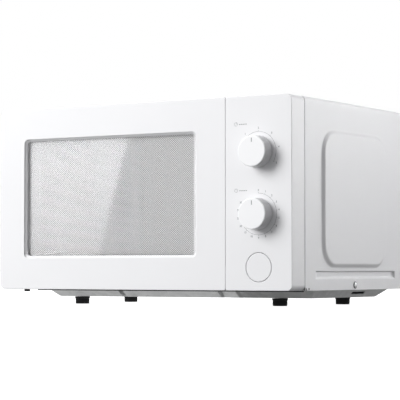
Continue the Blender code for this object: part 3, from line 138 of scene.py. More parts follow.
# ---- Panel, knobs and button: profiles are (radius, height) ----------------
PANEL_WALL = 2.6
PANEL_SKIN = 2.8
PANEL_INNER_CORNER = 3.0
WELL_GAP = 0.45
WELL_EDGE = 0.6
SHAFT_HOLE_RADIUS = 4.2
GUIDE = ((17.9, 0.4), (20.4, 0.4), (20.4, -14.4), (9.9, -14.4), (9.9, -12.4), (17.9, -12.4), (17.9, 0.4))
KNOB_CENTRES = {name: (node_middle(name).x, node_middle(name).z) for name in ("power_knob", "timer_knob")}
KNOB_BODIES = {"power_knob": "power_dial", "timer_knob": "timer_dial"}
KNOB_RADIUS = 19.3
KNOB_TAPER = 0.5
KNOB_RIM = 1.1
KNOB_UNDERSIDE = 0.5
KNOB_FOOT = ((KNOB_RADIUS, 1.6), (KNOB_RADIUS - 0.1, 0.9), (KNOB_RADIUS - 0.6, KNOB_UNDERSIDE))
KNOB_BORE_RADIUS = 3.4
KNOB_BORE_TOP = 12.0
POINTER = (10.6, 15.8)
POINTER_HALF_WIDTH = 0.55
BUTTON_EDGE = 0.8
BUTTON_BACK = ((BUTTON_RADIUS, -4.0), (4.0, -4.0), (4.0, -27.4), (2.0, -29.4), (2.0, -33.4), (0.0, -33.4))

# ---- Dial printing: arcs are start and end angle and radius ----------------
PRINT_LIFT = 0.03
PRINT_THICKNESS = 0.05
PRINT_WIDTH = 0.32
POWER_ARC = (-38.0, 122.0, 24.3)
POWER_MARKS = ("1", "2", "3", "4", "5")
POWER_STOPS = (-40.0, 40.0)
TIMER_ARC = (0.0, 300.0, 25.0)
TIMER_MARKS = ("0", "1", "2", "3", "4", "5", "6", "7", "8", "9", "10", "15", "20", "25", "30", "35")
TIMER_STOPS = (0.0, 20.0)
TICK_LENGTH = 1.3
LABEL_RADIUS = 28.6
LABEL_SIZE = 3.3
LABEL_WEIGHT = 0.06
ICON_RADIUS = 2.1
ICON_HAND = 1.5
ICON_WIDTH = 0.35
ICON_BARS = 4
BAR_START = 4.4
BAR_PITCH = 2.9
BAR_LENGTH = 2.1
BAR_WIDTH = 0.8
BAR_DROP = 0.3
POWER_ICON = (LEFT_X + 362.7, BASE_Z + 201.2, 40.0)
TIMER_ICON = (LEFT_X + 362.9, BASE_Z + 120.8, 0.0)

# ---- Cabinet: rectangles are low y, high y, low z, high z ------------------
CABINET_BEND = 5.0
CABINET_START_Y = PLATE_BACK_Y + 0.1
PAD = (FRONT_Y + 73.6, FRONT_Y + 252.0, BASE_Z + 27.0, BASE_Z + 198.5)
PAD_CORNER = 32.0
PAD_HEIGHT = 3.0
PAD_BEVEL = 6.0
GROOVE = (FRONT_Y + 58.5, FRONT_Y + 278.0, BASE_Z + 13.4, BASE_Z + 23.8)
GROOVE_CORNER = 1.6
GROOVE_DEPTH = 2.6
GROOVE_MIDDLE_Z = (GROOVE[2] + GROOVE[3]) / 2
GROOVE_BLEND = 2.0
GROOVE_SLOPES = (1.3, 3.4)
JOGGLE_Y = FRONT_Y + 288.0
JOGGLE_DEPTH = 0.7
JOGGLE_LENGTH = 1.6
# Openings behind the front plate: low and high distance back, low and high distance up.
SIDE_OPENINGS = ((1.0, 4.0, -1.0, 3.0), (8.0, 11.0, 1.0, 3.0))
BRACKET_Y = (0.6, 13.0)
BRACKET_Z = (0.2, 5.0)
BRACKET_DEPTHS = (SHEET + 0.2, 2.6)
GRID_FINE = 0.5
GRID_BEVEL = 0.9
GRID_FRONT = 1.0
GRID_CORNER = 1.8
GRID_COARSE = 7.0
SCREW_RADIUS = 3.5
SCREW_HEIGHT = 1.9
SCREW_BRIM = 0.5
SCREW_SHANK = ((SCREW_RADIUS, 0.3), (1.8, 0.3), (1.8, -6.0), (0.0, -6.4))
RECESS_HALVES = (2.0, 0.35)
RECESS_FLOOR = 0.9
RECESS_TOP = 3.0
# A raised black ring round each screw head; its black paints the shade of the gap round the head.
SCREW_SHADE_RING = ((3.6, 0.15), (3.8, 0.55), (4.4, 0.55), (4.6, 0.15), (3.6, 0.15))

# ---- Base pan and feet: outlines are low x, high x, low y, high y ----------
PAN_TOP = (-188.0, 214.0, -90.0, 118.0)
PAN_BOTTOM = (-179.0, 204.0, -75.0, 98.0)
PAN_RIM_LIFT = 0.4
GUSSETS_X = (-62.0, 101.0)
GUSSET_REACH = 4.0
GUSSET_HALF_WIDTH = 6.0
FRONT_DENTS = ((-77.0, -69.5), (75.0, 88.0))
DENT_DEPTH = 7.0
PRESSING_BLEND = 3.0
PAN_SLOT_Y = (22.0, 58.0)
PAN_SLOT_INSET = 4.6
PAN_SLOT_HALF = 1.6
RIB_SLOPES = (0.42, -0.42)
RIB_REACH = (52.0, 132.0)
RIB_RISE = 1.6
RIB_HALF_WIDTH = 6.0
RING_RADIUS = 42.0
RING_RISE = 1.4
RING_HALF_WIDTH = 5.0
# Lowest and highest corner, measured back from the front plate and up from the base.
# The long black strip paints the shadow gap under the door and the panel; the second block is a hinge stud.
SHADOW_GAP_STRIP = ((-184.0, 1.6, -1.6), (217.0, 2.6, -0.1))
STUD = ((-208.2, 4.0, -3.4), (-201.8, 9.0, -0.1))
FEET = ("foot_front_left", "foot_front_right", "foot_rear_left", "foot_rear_right")
# Radius and depth below the foot's top; a rib's depths are below the rib's own top.
FOOT_COLLAR = ((0.0, 0.1), (9.6, 0.1), (10.0, 0.5), (10.0, 1.9), (9.4, 2.3))
FOOT_RIB = ((9.45, 0.0), (9.3, 0.5), (9.05, 0.8), (9.25, 1.1))
FOOT_RIBS = 3
FOOT_RIB_TOP = 2.9
FOOT_RIB_PITCH = 1.7
FOOT_SOLE = ((9.0, 0.9), (8.7, 0.3), (8.1, 0.0), (4.0, 0.0), (3.6, 0.5), (3.6, 3.0), (0.0, 3.0))

# ---- Glass plate: radius and height over its underside ---------------------
PLATE_UPPER = ((0.0, 4.5), (94.0, 4.5), (98.0, 4.7), (104.0, 6.2), (112.0, 9.2))
PLATE_RIM = ((5.0, 12.2), (3.5, 12.9), (1.5, 12.9), (0.2, 12.0), (0.4, 10.8))
PLATE_LOWER = ((112.0, 3.6), (104.0, 1.2), (98.0, 0.2), (94.0, 0.0), (0.0, 0.0))

# ---- Camera, stage and light: metres, degrees and watts --------------------
CAMERA_PLACE = (1.226, -1.957, 0.045)
CAMERA_HEADING = 32.17
CAMERA_PITCH = 2.30
CAMERA_LENS = 156.7
CAMERA_SENSOR = 36.0
FLOOR_CARD = (-30.0, 30.0, -30.0, 30.0, 0.0)
FLOOR_GLOW = 0.92
# A darker card under the oven's right side, seen only in reflections: painted shade of the floor under the
# oven.
SHADED_FLOOR_CARD = (0.10, 0.30, -0.14, 0.30, 0.0003)
SHADED_FLOOR_GLOW = 0.32
FILL_COLOUR = (0.985, 0.985, 1.0, 1.0)
FILL_HEIGHTS = (-0.6, 0.8)
FILL_STRENGTHS = (0.16, 0.72)
DARK_CORNER = (0.75, -0.66, 0.0)
DARK_CORNER_SPAN = (-0.3, 1.0)
DARK_CORNER_FILL = 0.52
# Place, target, size, power and spread of each softbox.
SOFTBOXES = {
    "front_softbox": ((-2.12, -2.71, 1.84), (0.0, -0.15, 0.13), (2.3, 2.2), 144.0, 180.0),
    "side_softbox": ((1.61, 2.04, 0.80), (0.22, -0.65, 0.14), (1.2, 0.9), 2.8, 44.0),
    "side_strip": ((0.80, 0.0, 0.90), (0.22, 0.0, 0.2), (0.3, 0.3), 1.2, 180.0),
    "top_softbox": ((0.0, 0.35, 2.4), (0.0, 0.1, 0.2), (1.5, 1.5), 7.0, 180.0),
}
GLARE_EDGE = (-1.743, -2.6, 0.324)
GLARE_TILT = 16.7
GLARE_SIZE = (1.4, 1.6)
GLARE_POWER = 17.0
GLARE_HEIGHTS = (0.05, 0.35)
GLARE_STRENGTHS = (0.60, 1.30)


# ---- Mesh helpers ----------------------------------------------------------
def placed(name, data):
    """A new object with this data, linked into the scene."""
    item = bpy.data.objects.new(name, data)
    bpy.context.scene.collection.objects.link(item)
    return item


def mesh_data(name, mesh, unit=MM):
    """Mesh data from a bmesh in this unit, which is used up."""
    bmesh.ops.scale(mesh, verts=mesh.verts, vec=(unit, unit, unit))
    data = bpy.data.meshes.new(name)
    mesh.to_mesh(data)
    mesh.free()
    return data


def face_outward(mesh):
    bmesh.ops.recalc_face_normals(mesh, faces=mesh.faces)


def new_piece(name, mesh, material, body, smooth_angle=35.0):
    """Makes an object from a bmesh in millimetres and lets it ride on a body."""
    data = mesh_data(name, mesh)
    data.materials.append(material)
    data.shade_smooth()
    data.set_sharp_from_angle(angle=math.radians(smooth_angle))
    piece = placed(name, data)
    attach(piece, body)
    return piece


def flat_shading_where_flat(piece):
    """Lets large flat faces keep flat normals beside rounded edges."""
    weighted = piece.modifiers.new("Weighted normals", "WEIGHTED_NORMAL")
    weighted.keep_sharp = True
    weighted.weight = 80


def rounded_rectangle(low_u, high_u, low_v, high_v, radii, steps):
    """Points round a rectangle whose corners have these radii, from its lowest corner on."""
    signs = ((-1, -1), (1, -1), (1, 1), (-1, 1))
    points = []
    for index, (side_u, side_v) in enumerate(signs):
        radius = radii[index]
        centre_u = high_u - radius if side_u > 0 else low_u + radius
        centre_v = high_v - radius if side_v > 0 else low_v + radius
        for step in range(steps + 1):
            angle = math.pi + (index + step / steps) * math.pi / 2
            points.append((centre_u + radius * math.cos(angle), centre_v + radius * math.sin(angle)))
    return points


def sweep(axis, sections, steps=10, closed=False, capped=True):
    """Skins rounded rectangles (position, low_u, high_u, low_v, high_v, radii).

    closed joins the last section to the first, as in a frame. capped fills
    both ends of an open run.
    """
    order = {"X": (0, 1, 2), "Y": (1, 0, 2), "Z": (2, 0, 1)}[axis]
    mesh = bmesh.new()
    rings = []
    for position, low_u, high_u, low_v, high_v, radii in sections:
        if not isinstance(radii, (tuple, list)):
            radii = (radii,) * 4
        ring = []
        for u, v in rounded_rectangle(low_u, high_u, low_v, high_v, radii, steps):
            point = [0.0, 0.0, 0.0]
            point[order[0]] = position
            point[order[1]] = u
            point[order[2]] = v
            ring.append(mesh.verts.new(point))
        rings.append(ring)
    pairs = list(zip(rings, rings[1:]))
    if closed:
        pairs.append((rings[-1], rings[0]))
    for first, second in pairs:
        for index in range(len(first)):
            following = (index + 1) % len(first)
            mesh.faces.new((first[index], first[following], second[following], second[index]))
    if capped and not closed:
        mesh.faces.new(rings[0])
        mesh.faces.new(rings[-1])
    face_outward(mesh)
    return mesh


def grown(rectangle, amount):
    """The rectangle with every side moved outward by amount."""
    low_u, high_u, low_v, high_v = rectangle
    return (low_u - amount, high_u + amount, low_v - amount, high_v + amount)


def shrunk(rectangle, amount, corner):
    """The end of a section: the rectangle moved inward by amount, and its corner radius with it."""
    return (*grown(rectangle, -amount), corner - amount)


def lathe(profile, steps=96):
    """A turned solid around +Z from (radius, height) points, from the axis to the axis or in a loop."""
    mesh = bmesh.new()
    rings = []
    for radius, height in profile:
        if radius == 0.0:
            rings.append([mesh.verts.new((0.0, 0.0, height))])
            continue
        ring = []
        for step in range(steps):
            angle = step / steps * TAU
            ring.append(mesh.verts.new((radius * math.cos(angle), radius * math.sin(angle), height)))
        rings.append(ring)
    for first, second in zip(rings, rings[1:]):
        for index in range(steps):
            following = (index + 1) % steps
            corners = [first[index % len(first)]]
            if len(first) > 1:
                corners.append(first[following])
            if len(second) > 1:
                corners.append(second[following])
            corners.append(second[index % len(second)])
            mesh.faces.new(corners)
    face_outward(mesh)
    return mesh


def turn_to(mesh, axis, start):
    """Turns a mesh made around +Z to another axis and moves it to start."""
    turns = {
        "+Z": Matrix.Identity(4),
        "-Y": Matrix.Rotation(math.pi / 2, 4, "X"),
        "+Y": Matrix.Rotation(-math.pi / 2, 4, "X"),
        "+X": Matrix.Rotation(math.pi / 2, 4, "Y"),
        "-X": Matrix.Rotation(-math.pi / 2, 4, "Y"),
    }
    bmesh.ops.transform(mesh, matrix=Matrix.Translation(start) @ turns[axis], verts=mesh.verts)
    return mesh


def pin(radius, top, bottom):
    """A plain round cutter around +Z."""
    return lathe([(0.0, top), (radius, top), (radius, bottom), (0.0, bottom)], 32)


def quarter_turn(steps):
    """Sine and cosine at even steps from 0 to 90 degrees."""
    angles = [step / steps * math.pi / 2 for step in range(steps + 1)]
    return [(math.sin(angle), math.cos(angle)) for angle in angles]


def rim_profile(radius, height, edge, steps):
    """Profile points of a turned piece's rounded rim, from its face to its side."""
    inner = radius - edge
    return [(inner + edge * sine, height - edge + edge * cosine) for sine, cosine in quarter_turn(steps)]


def add_block(mesh, low, high):
    """Adds a box between two corners to a mesh."""
    size = [h - l for l, h in zip(low, high)]
    middle = [(h + l) / 2 for l, h in zip(low, high)]
    matrix = Matrix.Translation(middle) @ Matrix.Diagonal((*size, 1.0))
    bmesh.ops.create_cube(mesh, size=1.0, matrix=matrix)


def break_edges(mesh):
    """Rounds every edge of a mesh a little."""
    bmesh.ops.bevel(mesh, geom=mesh.edges, offset=EDGE_BREAK, segments=2, affect="EDGES")


def quarter(radius, steps):
    """Offsets (along, inset) of a rounded edge, from its face to its side."""
    return [(radius * (1 - cosine), radius * (1 - sine)) for sine, cosine in quarter_turn(steps)]


def skin(mesh, rows, is_open):
    """Joins grid rows with faces, except where is_open says so of a face's middle."""
    for first, second in zip(rows, rows[1:]):
        for index in range(len(first) - 1):
            corners = (first[index], second[index], second[index + 1], first[index + 1])
            if not is_open((corners[0].co + corners[2].co) / 2):
                mesh.faces.new(corners)


def sheet_metal(piece):
    """Turns a surface into sheet of the usual thickness with crisp cut edges."""
    solid = piece.modifiers.new("Sheet", "SOLIDIFY")
    solid.thickness = SHEET * MM
    solid.offset = -1.0
    crisp = piece.modifiers.new("Crisp rims", "EDGE_SPLIT")
    crisp.split_angle = math.radians(50.0)


def cut(piece, mesh):
    """Cuts a closed mesh out of a piece and leaves no helper behind."""
    helper = placed("cutter", mesh_data("cutter", mesh))
    step = piece.modifiers.new("Cut", "BOOLEAN")
    step.object = helper
    step.operation = "DIFFERENCE"
    step.solver = "EXACT"
    bpy.context.view_layer.update()
    evaluated = piece.evaluated_get(bpy.context.evaluated_depsgraph_get())
    result = bpy.data.meshes.new_from_object(evaluated)
    piece.modifiers.clear()
    piece.data = result
    result.shade_smooth()
    result.set_sharp_from_angle(angle=math.radians(30.0))
    bpy.data.objects.remove(helper, do_unlink=True)


def smooth_step(value):
    """0 below 0, 1 above 1, and a smooth rise between."""
    value = min(max(value, 0.0), 1.0)
    return value * value * (3.0 - 2.0 * value)


def rounded_distance(u, v, rectangle, radius):
    """Signed distance to a rounded rectangle's edge, negative inside."""
    low_u, high_u, low_v, high_v = rectangle
    over_u = abs(u - (low_u + high_u) / 2) - ((high_u - low_u) / 2 - radius)
    over_v = abs(v - (low_v + high_v) / 2) - ((high_v - low_v) / 2 - radius)
    outside = math.hypot(max(over_u, 0.0), max(over_v, 0.0))
    return outside + min(max(over_u, over_v), 0.0) - radius


def graded_lines(low, high, coarse, bands):
    """Grid lines from low to high, closer together inside (start, end, step) bands."""
    lines = [low]
    while lines[-1] < high - 0.01:
        here = lines[-1]
        step = coarse
        for start, end, size in bands:
            if start <= here < end:
                step = min(step, size)
        goal = here + step
        for start, _, size in bands:
            if here < start < goal and size < step:
                goal = start
        lines.append(min(goal, high))
    return lines


# ---- Materials -------------------------------------------------------------
def map_range(tree, value, target, source=(0.0, 1.0), smooth=False):
    """Maps a value in a node tree from the source span onto the target span."""
    node = tree.nodes.new("ShaderNodeMapRange")
    if smooth:
        node.interpolation_type = "SMOOTHSTEP"
    spans = {"From Min": source[0], "From Max": source[1], "To Min": target[0], "To Max": target[1]}
    for socket, number_value in spans.items():
        node.inputs[socket].default_value = number_value
    tree.links.new(value, node.inputs["Value"])
    return node.outputs["Result"]


class Shader:
    """A Principled material with helpers for procedural detail."""

    def __init__(self, name, colour, roughness, metallic=0.0):
        self.material = bpy.data.materials.new(name)
        self.material.use_nodes = True
        self.tree = self.material.node_tree
        self.nodes = self.tree.nodes
        self.links = self.tree.links
        self.colour = colour
        self.shader = self.nodes["Principled BSDF"]
        self.shader.inputs["Base Color"].default_value = (*colour, 1.0)
        self.shader.inputs["Roughness"].default_value = roughness
        self.shader.inputs["Metallic"].default_value = metallic
        self.material.diffuse_color = (*colour, 1.0)
        self.place = self.nodes.new("ShaderNodeTexCoord").outputs["Object"]

    def noise(self, scale, detail=3.0, stretch=(1.0, 1.0, 1.0)):
        mapping = self.nodes.new("ShaderNodeMapping")
        mapping.inputs["Scale"].default_value = stretch
        texture = self.nodes.new("ShaderNodeTexNoise")
        texture.inputs["Scale"].default_value = scale
        texture.inputs["Detail"].default_value = detail
        self.links.new(self.place, mapping.inputs["Vector"])
        self.links.new(mapping.outputs["Vector"], texture.inputs["Vector"])
        return texture.outputs["Fac"]

    def cells(self, scale):
        texture = self.nodes.new("ShaderNodeTexVoronoi")
        texture.inputs["Scale"].default_value = scale
        self.links.new(self.place, texture.inputs["Vector"])
        return texture.outputs["Color"]

    def vary_colour(self, value, first, second):
        """Blends the colour from first to second along a 0 to 1 value."""
        mix = self.nodes.new("ShaderNodeMix")
        mix.data_type = "RGBA"
        mix.inputs["A"].default_value = (*first, 1.0)
        mix.inputs["B"].default_value = (*second, 1.0)
        self.links.new(value, mix.inputs["Factor"])
        self.links.new(mix.outputs["Result"], self.shader.inputs["Base Color"])

    def mottle(self, value, darker, lighter):
        """Lets the base colour run from darker to lighter by these amounts."""
        first = [channel - darker for channel in self.colour]
        second = [channel + lighter for channel in self.colour]
        self.vary_colour(value, first, second)

    def vary_roughness(self, low, high, *grain):
        """Lets the roughness follow a noise from low to high."""
        roughness = map_range(self.tree, self.noise(*grain), (low, high))
        self.links.new(roughness, self.shader.inputs["Roughness"])

    def relief(self, strength, depth, *grain):
        """Bump from a noise, its depth in millimetres."""
        bump = self.nodes.new("ShaderNodeBump")
        bump.inputs["Strength"].default_value = strength
        bump.inputs["Distance"].default_value = depth * MM
        self.links.new(self.noise(*grain), bump.inputs["Height"])
        self.links.new(bump.outputs["Normal"], self.shader.inputs["Normal"])


def white_plastic():
    """Satin moulded plastic with a very fine spark-eroded grain."""
    look = Shader("white_plastic", (0.795, 0.797, 0.810), 0.42)
    look.mottle(look.noise(18.0), 0.01, 0.01)
    look.vary_roughness(0.38, 0.48, 900.0)
    look.relief(0.12, 0.03, 2600.0, 2.0)
    return look.material


def knob_plastic():
    """Smoother white plastic of the knobs' faces."""
    look = Shader("knob_plastic", (0.89, 0.895, 0.905), 0.32)
    look.mottle(look.noise(40.0), 0.01, 0.01)
    look.vary_roughness(0.28, 0.36, 700.0)
    look.relief(0.06, 0.02, 3000.0, 2.0)
    return look.material


def knob_side_shaded_plastic():
    """The knobs' turned side, finely ribbed along the axis; its darker base colour is painted shade, the
    shade the side gets beside the panel.
    """
    look = Shader("knob_side_shaded_plastic", (0.62, 0.62, 0.63), 0.40)
    look.mottle(look.noise(60.0), 0.015, 0.015)
    look.vary_roughness(0.36, 0.46, 800.0)
    look.relief(0.5, 0.12, 1400.0, 1.0, (1.0, 0.05, 1.0))
    return look.material


def powder_coat():
    """Powder-coated steel with a light orange-peel skin."""
    look = Shader("powder_coat", (0.79, 0.792, 0.805), 0.45)
    look.mottle(look.noise(9.0), 0.01, 0.01)
    look.vary_roughness(0.40, 0.50, 300.0)
    look.relief(0.10, 0.06, 650.0, 2.0)
    return look.material


def grey_enamel():
    """The baked grey enamel of the cavity, speckled and slightly glossy."""
    look = Shader("grey_enamel", (0.33, 0.335, 0.34), 0.38)
    look.mottle(look.cells(420.0), 0.05, 0.05)
    look.vary_roughness(0.32, 0.46, 260.0)
    look.relief(0.12, 0.05, 700.0, 2.0)
    return look.material


def screen_paint():
    """The white paint of the door's perforated sheet."""
    look = Shader("screen_paint", (0.90, 0.90, 0.905), 0.5)
    look.mottle(look.noise(60.0), 0.015, 0.015)
    look.relief(0.1, 0.03, 1800.0, 2.0)
    return look.material


def zinc_coated():
    """Galvanised sheet: spangled grains over a fine rolled texture."""
    look = Shader("zinc_coated", (0.45, 0.455, 0.455), 0.42, 0.6)
    look.mottle(look.cells(140.0), 0.05, 0.05)
    look.vary_roughness(0.34, 0.52, 220.0)
    look.relief(0.15, 0.05, 500.0, 4.0, (1.0, 6.0, 1.0))
    return look.material


def bright_metal():
    """Plated steel with fine drawing marks."""
    look = Shader("bright_metal", (0.50, 0.50, 0.51), 0.28, 1.0)
    look.vary_roughness(0.2, 0.36, 900.0)
    look.relief(0.1, 0.02, 2200.0, 2.0, (8.0, 1.0, 1.0))
    return look.material


def black_rubber():
    """Dull black rubber with a fine moulded grain."""
    look = Shader("black_rubber", (0.010, 0.010, 0.011), 0.75)
    look.shader.inputs["Specular IOR Level"].default_value = 0.3
    look.mottle(look.noise(300.0), 0.003, 0.007)
    look.relief(0.35, 0.08, 1500.0)
    return look.material


def moulded(name, colour, lighter):
    """Plain technical plastic: even colour with moulding grain."""
    look = Shader(name, colour, 0.5)
    look.mottle(look.noise(120.0), 0.0, lighter)
    look.relief(0.2, 0.04, 2000.0, 2.0)
    return look.material


def clear_pane(name, tint):
    """Clear glass or polycarbonate with faint handling haze."""
    look = Shader(name, tint, 0.03)
    look.shader.inputs["Transmission Weight"].default_value = 1.0
    look.shader.inputs["IOR"].default_value = 1.45
    look.vary_roughness(0.015, 0.05, 14.0)
    return look.material


def mica():
    """Flaky mineral sheet."""
    look = Shader("mica", (0.50, 0.45, 0.36), 0.55)
    look.vary_colour(look.cells(260.0), (0.42, 0.37, 0.29), (0.60, 0.55, 0.46))
    look.relief(0.2, 0.05, 700.0)
    return look.material


def copper():
    """Wound enamelled wire, its turns side by side."""
    look = Shader("copper", (0.50, 0.20, 0.07), 0.3, 1.0)
    look.vary_colour(look.noise(500.0, 2.0, (1.0, 1.0, 9.0)), (0.38, 0.14, 0.05), (0.6, 0.27, 0.1))
    look.relief(0.5, 0.2, 900.0, 1.0, (1.0, 1.0, 9.0))
    return look.material


def laminations():
    """Stacked core plates, seen on edge."""
    look = Shader("laminations", (0.09, 0.09, 0.1), 0.45, 0.6)
    look.vary_colour(look.noise(700.0, 1.0, (1.0, 9.0, 1.0)), (0.05, 0.05, 0.055), (0.16, 0.16, 0.17))
    look.relief(0.4, 0.15, 700.0, 1.0, (1.0, 9.0, 1.0))
    return look.material


def aluminium():
    """Rolled aluminium sheet."""
    look = Shader("aluminium", (0.66, 0.67, 0.69), 0.36, 1.0)
    look.vary_roughness(0.28, 0.46, 400.0, 3.0, (1.0, 1.0, 8.0))
    look.relief(0.12, 0.03, 900.0, 2.0, (1.0, 1.0, 8.0))
    return look.material


def circuit_board():
    """Green solder resist over fine tracks."""
    look = Shader("circuit_board", (0.03, 0.14, 0.06), 0.4)
    look.vary_colour(look.cells(500.0), (0.02, 0.10, 0.04), (0.05, 0.18, 0.08))
    look.relief(0.2, 0.05, 900.0)
    return look.material


def print_grey():
    """The pad-printed ink of the dials."""
    look = Shader("print_grey", (0.23, 0.235, 0.245), 0.6)
    look.mottle(look.noise(1500.0), 0.02, 0.03)
    return look.material


WHITE_PLASTIC = white_plastic()
KNOB_PLASTIC = knob_plastic()
KNOB_SIDE_SHADED_PLASTIC = knob_side_shaded_plastic()
POWDER_COAT = powder_coat()
SCREEN_PAINT = screen_paint()
ZINC = zinc_coated()
BRIGHT_METAL = bright_metal()
RUBBER = black_rubber()
BLACK_PLASTIC = moulded("black_plastic", (0.025, 0.025, 0.027), 0.015)
CLEAR_PANE = clear_pane("clear_pane", (0.98, 0.98, 0.985))
PRINT = print_grey()

SLOT_LOOKS = {
    "white_plastic": WHITE_PLASTIC,
    "white_enamel": POWDER_COAT,
    "grey_enamel": grey_enamel(),
    "galvanised_steel": ZINC,
    "bright_steel": BRIGHT_METAL,
    "black_rubber": RUBBER,
    "black_plastic": BLACK_PLASTIC,
    "grey_plastic": moulded("grey_plastic", (0.33, 0.34, 0.35), 0.04),
    "clear_glass": CLEAR_PANE,
    "mica_sheet": mica(),
    "copper_wire": copper(),
    "core_steel": laminations(),
    "aluminium": aluminium(),
    "board_green": circuit_board(),
}


def dress_cad_nodes():
    """Gives every CAD node the finish of its material slot."""
    for entry in frame["record"]["subparts"]:
        node = frame["nodes"][entry["node"]]
        look = SLOT_LOOKS[entry["material_slot"]]
        if not node.material_slots:
            node.data.materials.append(look)
        for slot in node.material_slots:
            slot.material = look


# ---- Door ------------------------------------------------------------------
def face_sections(box, corners, seam_side, edge_steps=6):
    """Sections of a face's outer skin, from its back edge to its rounded front.

    seam_side is -1 or 1 for the side that meets the other face, which is crisper.
    """
    low_x, high_x, low_z, high_z = box
    sections = []
    for along, inward in reversed(quarter(FRONT_EDGE, edge_steps)):
        radii = [max(radius - inward, 0.4) for radius in corners]
        left = low_x + inward * (SEAM_EDGE_SHARE if seam_side < 0 else 1.0)
        right = high_x - inward * (SEAM_EDGE_SHARE if seam_side > 0 else 1.0)
        sections.append((FRONT_Y + along, left, right, low_z + inward, high_z - inward, radii))
    return sections


def window_sections():
    """Sections from the window's lip down its chamfer, then out into the pocket behind the skin."""
    sections = []
    for along, inward in quarter(WINDOW_LIP, 3):
        sections.append((FRONT_Y + along, *shrunk(WINDOW, inward - WINDOW_LIP, WINDOW_CORNER)))
    for depth, outside, corner_loss in WINDOW_FOOT:
        rectangle = grown(WINDOW, outside - WINDOW_CHAMFER)
        sections.append((FRONT_Y + depth, *rectangle, WINDOW_CORNER - corner_loss))
    sections.append((FRONT_Y + DOOR_SKIN, *POCKET, POCKET_CORNER))
    sections.append((BACK_Y - POCKET_LEAD_IN, *POCKET, POCKET_CORNER))
    sections.append((BACK_Y, *shrunk(POCKET, -POCKET_LEAD_IN, POCKET_CORNER)))
    return sections


def hinge_notches():
    """Cutters for the hinge arms that reach into the door's side."""
    mesh = bmesh.new()
    for hinge, middle_z in HINGE_NOTCHES_Z.items():
        front = node_box(hinge)[0].y - HINGE_NOTCH_AHEAD
        low = (LEFT_X - CUT_MARGIN, front, middle_z - HINGE_NOTCH_HALF)
        high = (LEFT_X + HINGE_NOTCH_REACH, BACK_Y + CUT_MARGIN, middle_z + HINGE_NOTCH_HALF)
        add_block(mesh, low, high)
    return mesh


def door_frame():
    """The moulded door: outer skin, window lip and the pocket behind it."""
    box = (LEFT_X, SEAM_X - SEAM_GAP / 2, BASE_Z, TOP_Z)
    corners = (FACE_CORNER, SEAM_CORNER, SEAM_CORNER, FACE_CORNER)
    sections = []
    for from_back, inward in quarter(HINGE_ROUND, 8):
        sections.append((BACK_Y - from_back, LEFT_X + inward, *box[1:], corners))
    sections += face_sections(box, corners, 1)
    sections += window_sections()
    mesh = sweep("Y", sections, closed=True)
    piece = new_piece("door_moulding", mesh, WHITE_PLASTIC, "door")
    cut(piece, hinge_notches())
    spring = node_middle("latch_spring")
    seat = turn_to(pin(radius=4.6, top=5.0, bottom=-1.0), "+Z", (spring.x, spring.y, POCKET[3]))
    cut(piece, seat)
    flat_shading_where_flat(piece)
    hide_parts("door_frame")


def door_glass():
    """The clear pane behind the window opening."""
    low, high = node_box("door_window")
    box = (low.x, high.x, low.z, high.z)
    sections = [
        (low.y, *shrunk(box, GLASS_EDGE, GLASS_CORNER)),
        (low.y + GLASS_EDGE, *box, GLASS_CORNER),
        (high.y - GLASS_EDGE, *box, GLASS_CORNER),
        (high.y, *shrunk(box, GLASS_EDGE, GLASS_CORNER)),
    ]
    piece = new_piece("window_pane", sweep("Y", sections), CLEAR_PANE, "door", 25.0)
    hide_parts("door_window")


def perforated_field(field, front, back):
    """A staggered grid of diamond-shaped sheet cells, each with a round hole through it."""
    low_x, high_x, low_z, high_z = field
    rows = int((high_z - low_z) / HOLE_STEP_Z)
    columns = int((high_x - low_x) / (2 * HOLE_STEP_X))
    tips = ((HOLE_STEP_X, 0.0), (0.0, HOLE_STEP_Z), (-HOLE_STEP_X, 0.0), (0.0, -HOLE_STEP_Z))
    mesh = bmesh.new()
    shared = {}

    def sheet_point(x, z):
        key = (round(x, 2), round(z, 2))
        if key not in shared:
            shared[key] = mesh.verts.new((x, front, z))
        return shared[key]

    def add_cell(x, z):
        outer = []
        rim = []
        deep = []
        for side in range(HOLE_SIDES):
            tip = tips[side // 2]
            next_tip = tips[(side // 2 + 1) % len(tips)]
            share = 0.5 * (side % 2)
            outer_x = x + tip[0] + (next_tip[0] - tip[0]) * share
            outer_z = z + tip[1] + (next_tip[1] - tip[1]) * share
            outer.append(sheet_point(outer_x, outer_z))
            angle = side / HOLE_SIDES * TAU
            hole_x = x + HOLE_RADIUS * math.cos(angle)
            hole_z = z + HOLE_RADIUS * math.sin(angle)
            rim.append(mesh.verts.new((hole_x, front, hole_z)))
            deep.append(mesh.verts.new((hole_x, back, hole_z)))
        for side in range(HOLE_SIDES):
            following = (side + 1) % HOLE_SIDES
            mesh.faces.new((outer[side], outer[following], rim[following], rim[side]))
            mesh.faces.new((rim[side], rim[following], deep[following], deep[side]))

    for row in range(rows):
        for column in range(columns):
            add_cell(low_x + (2 * column + 1 + row % 2) * HOLE_STEP_X, low_z + (row + 0.5) * HOLE_STEP_Z)
    return mesh


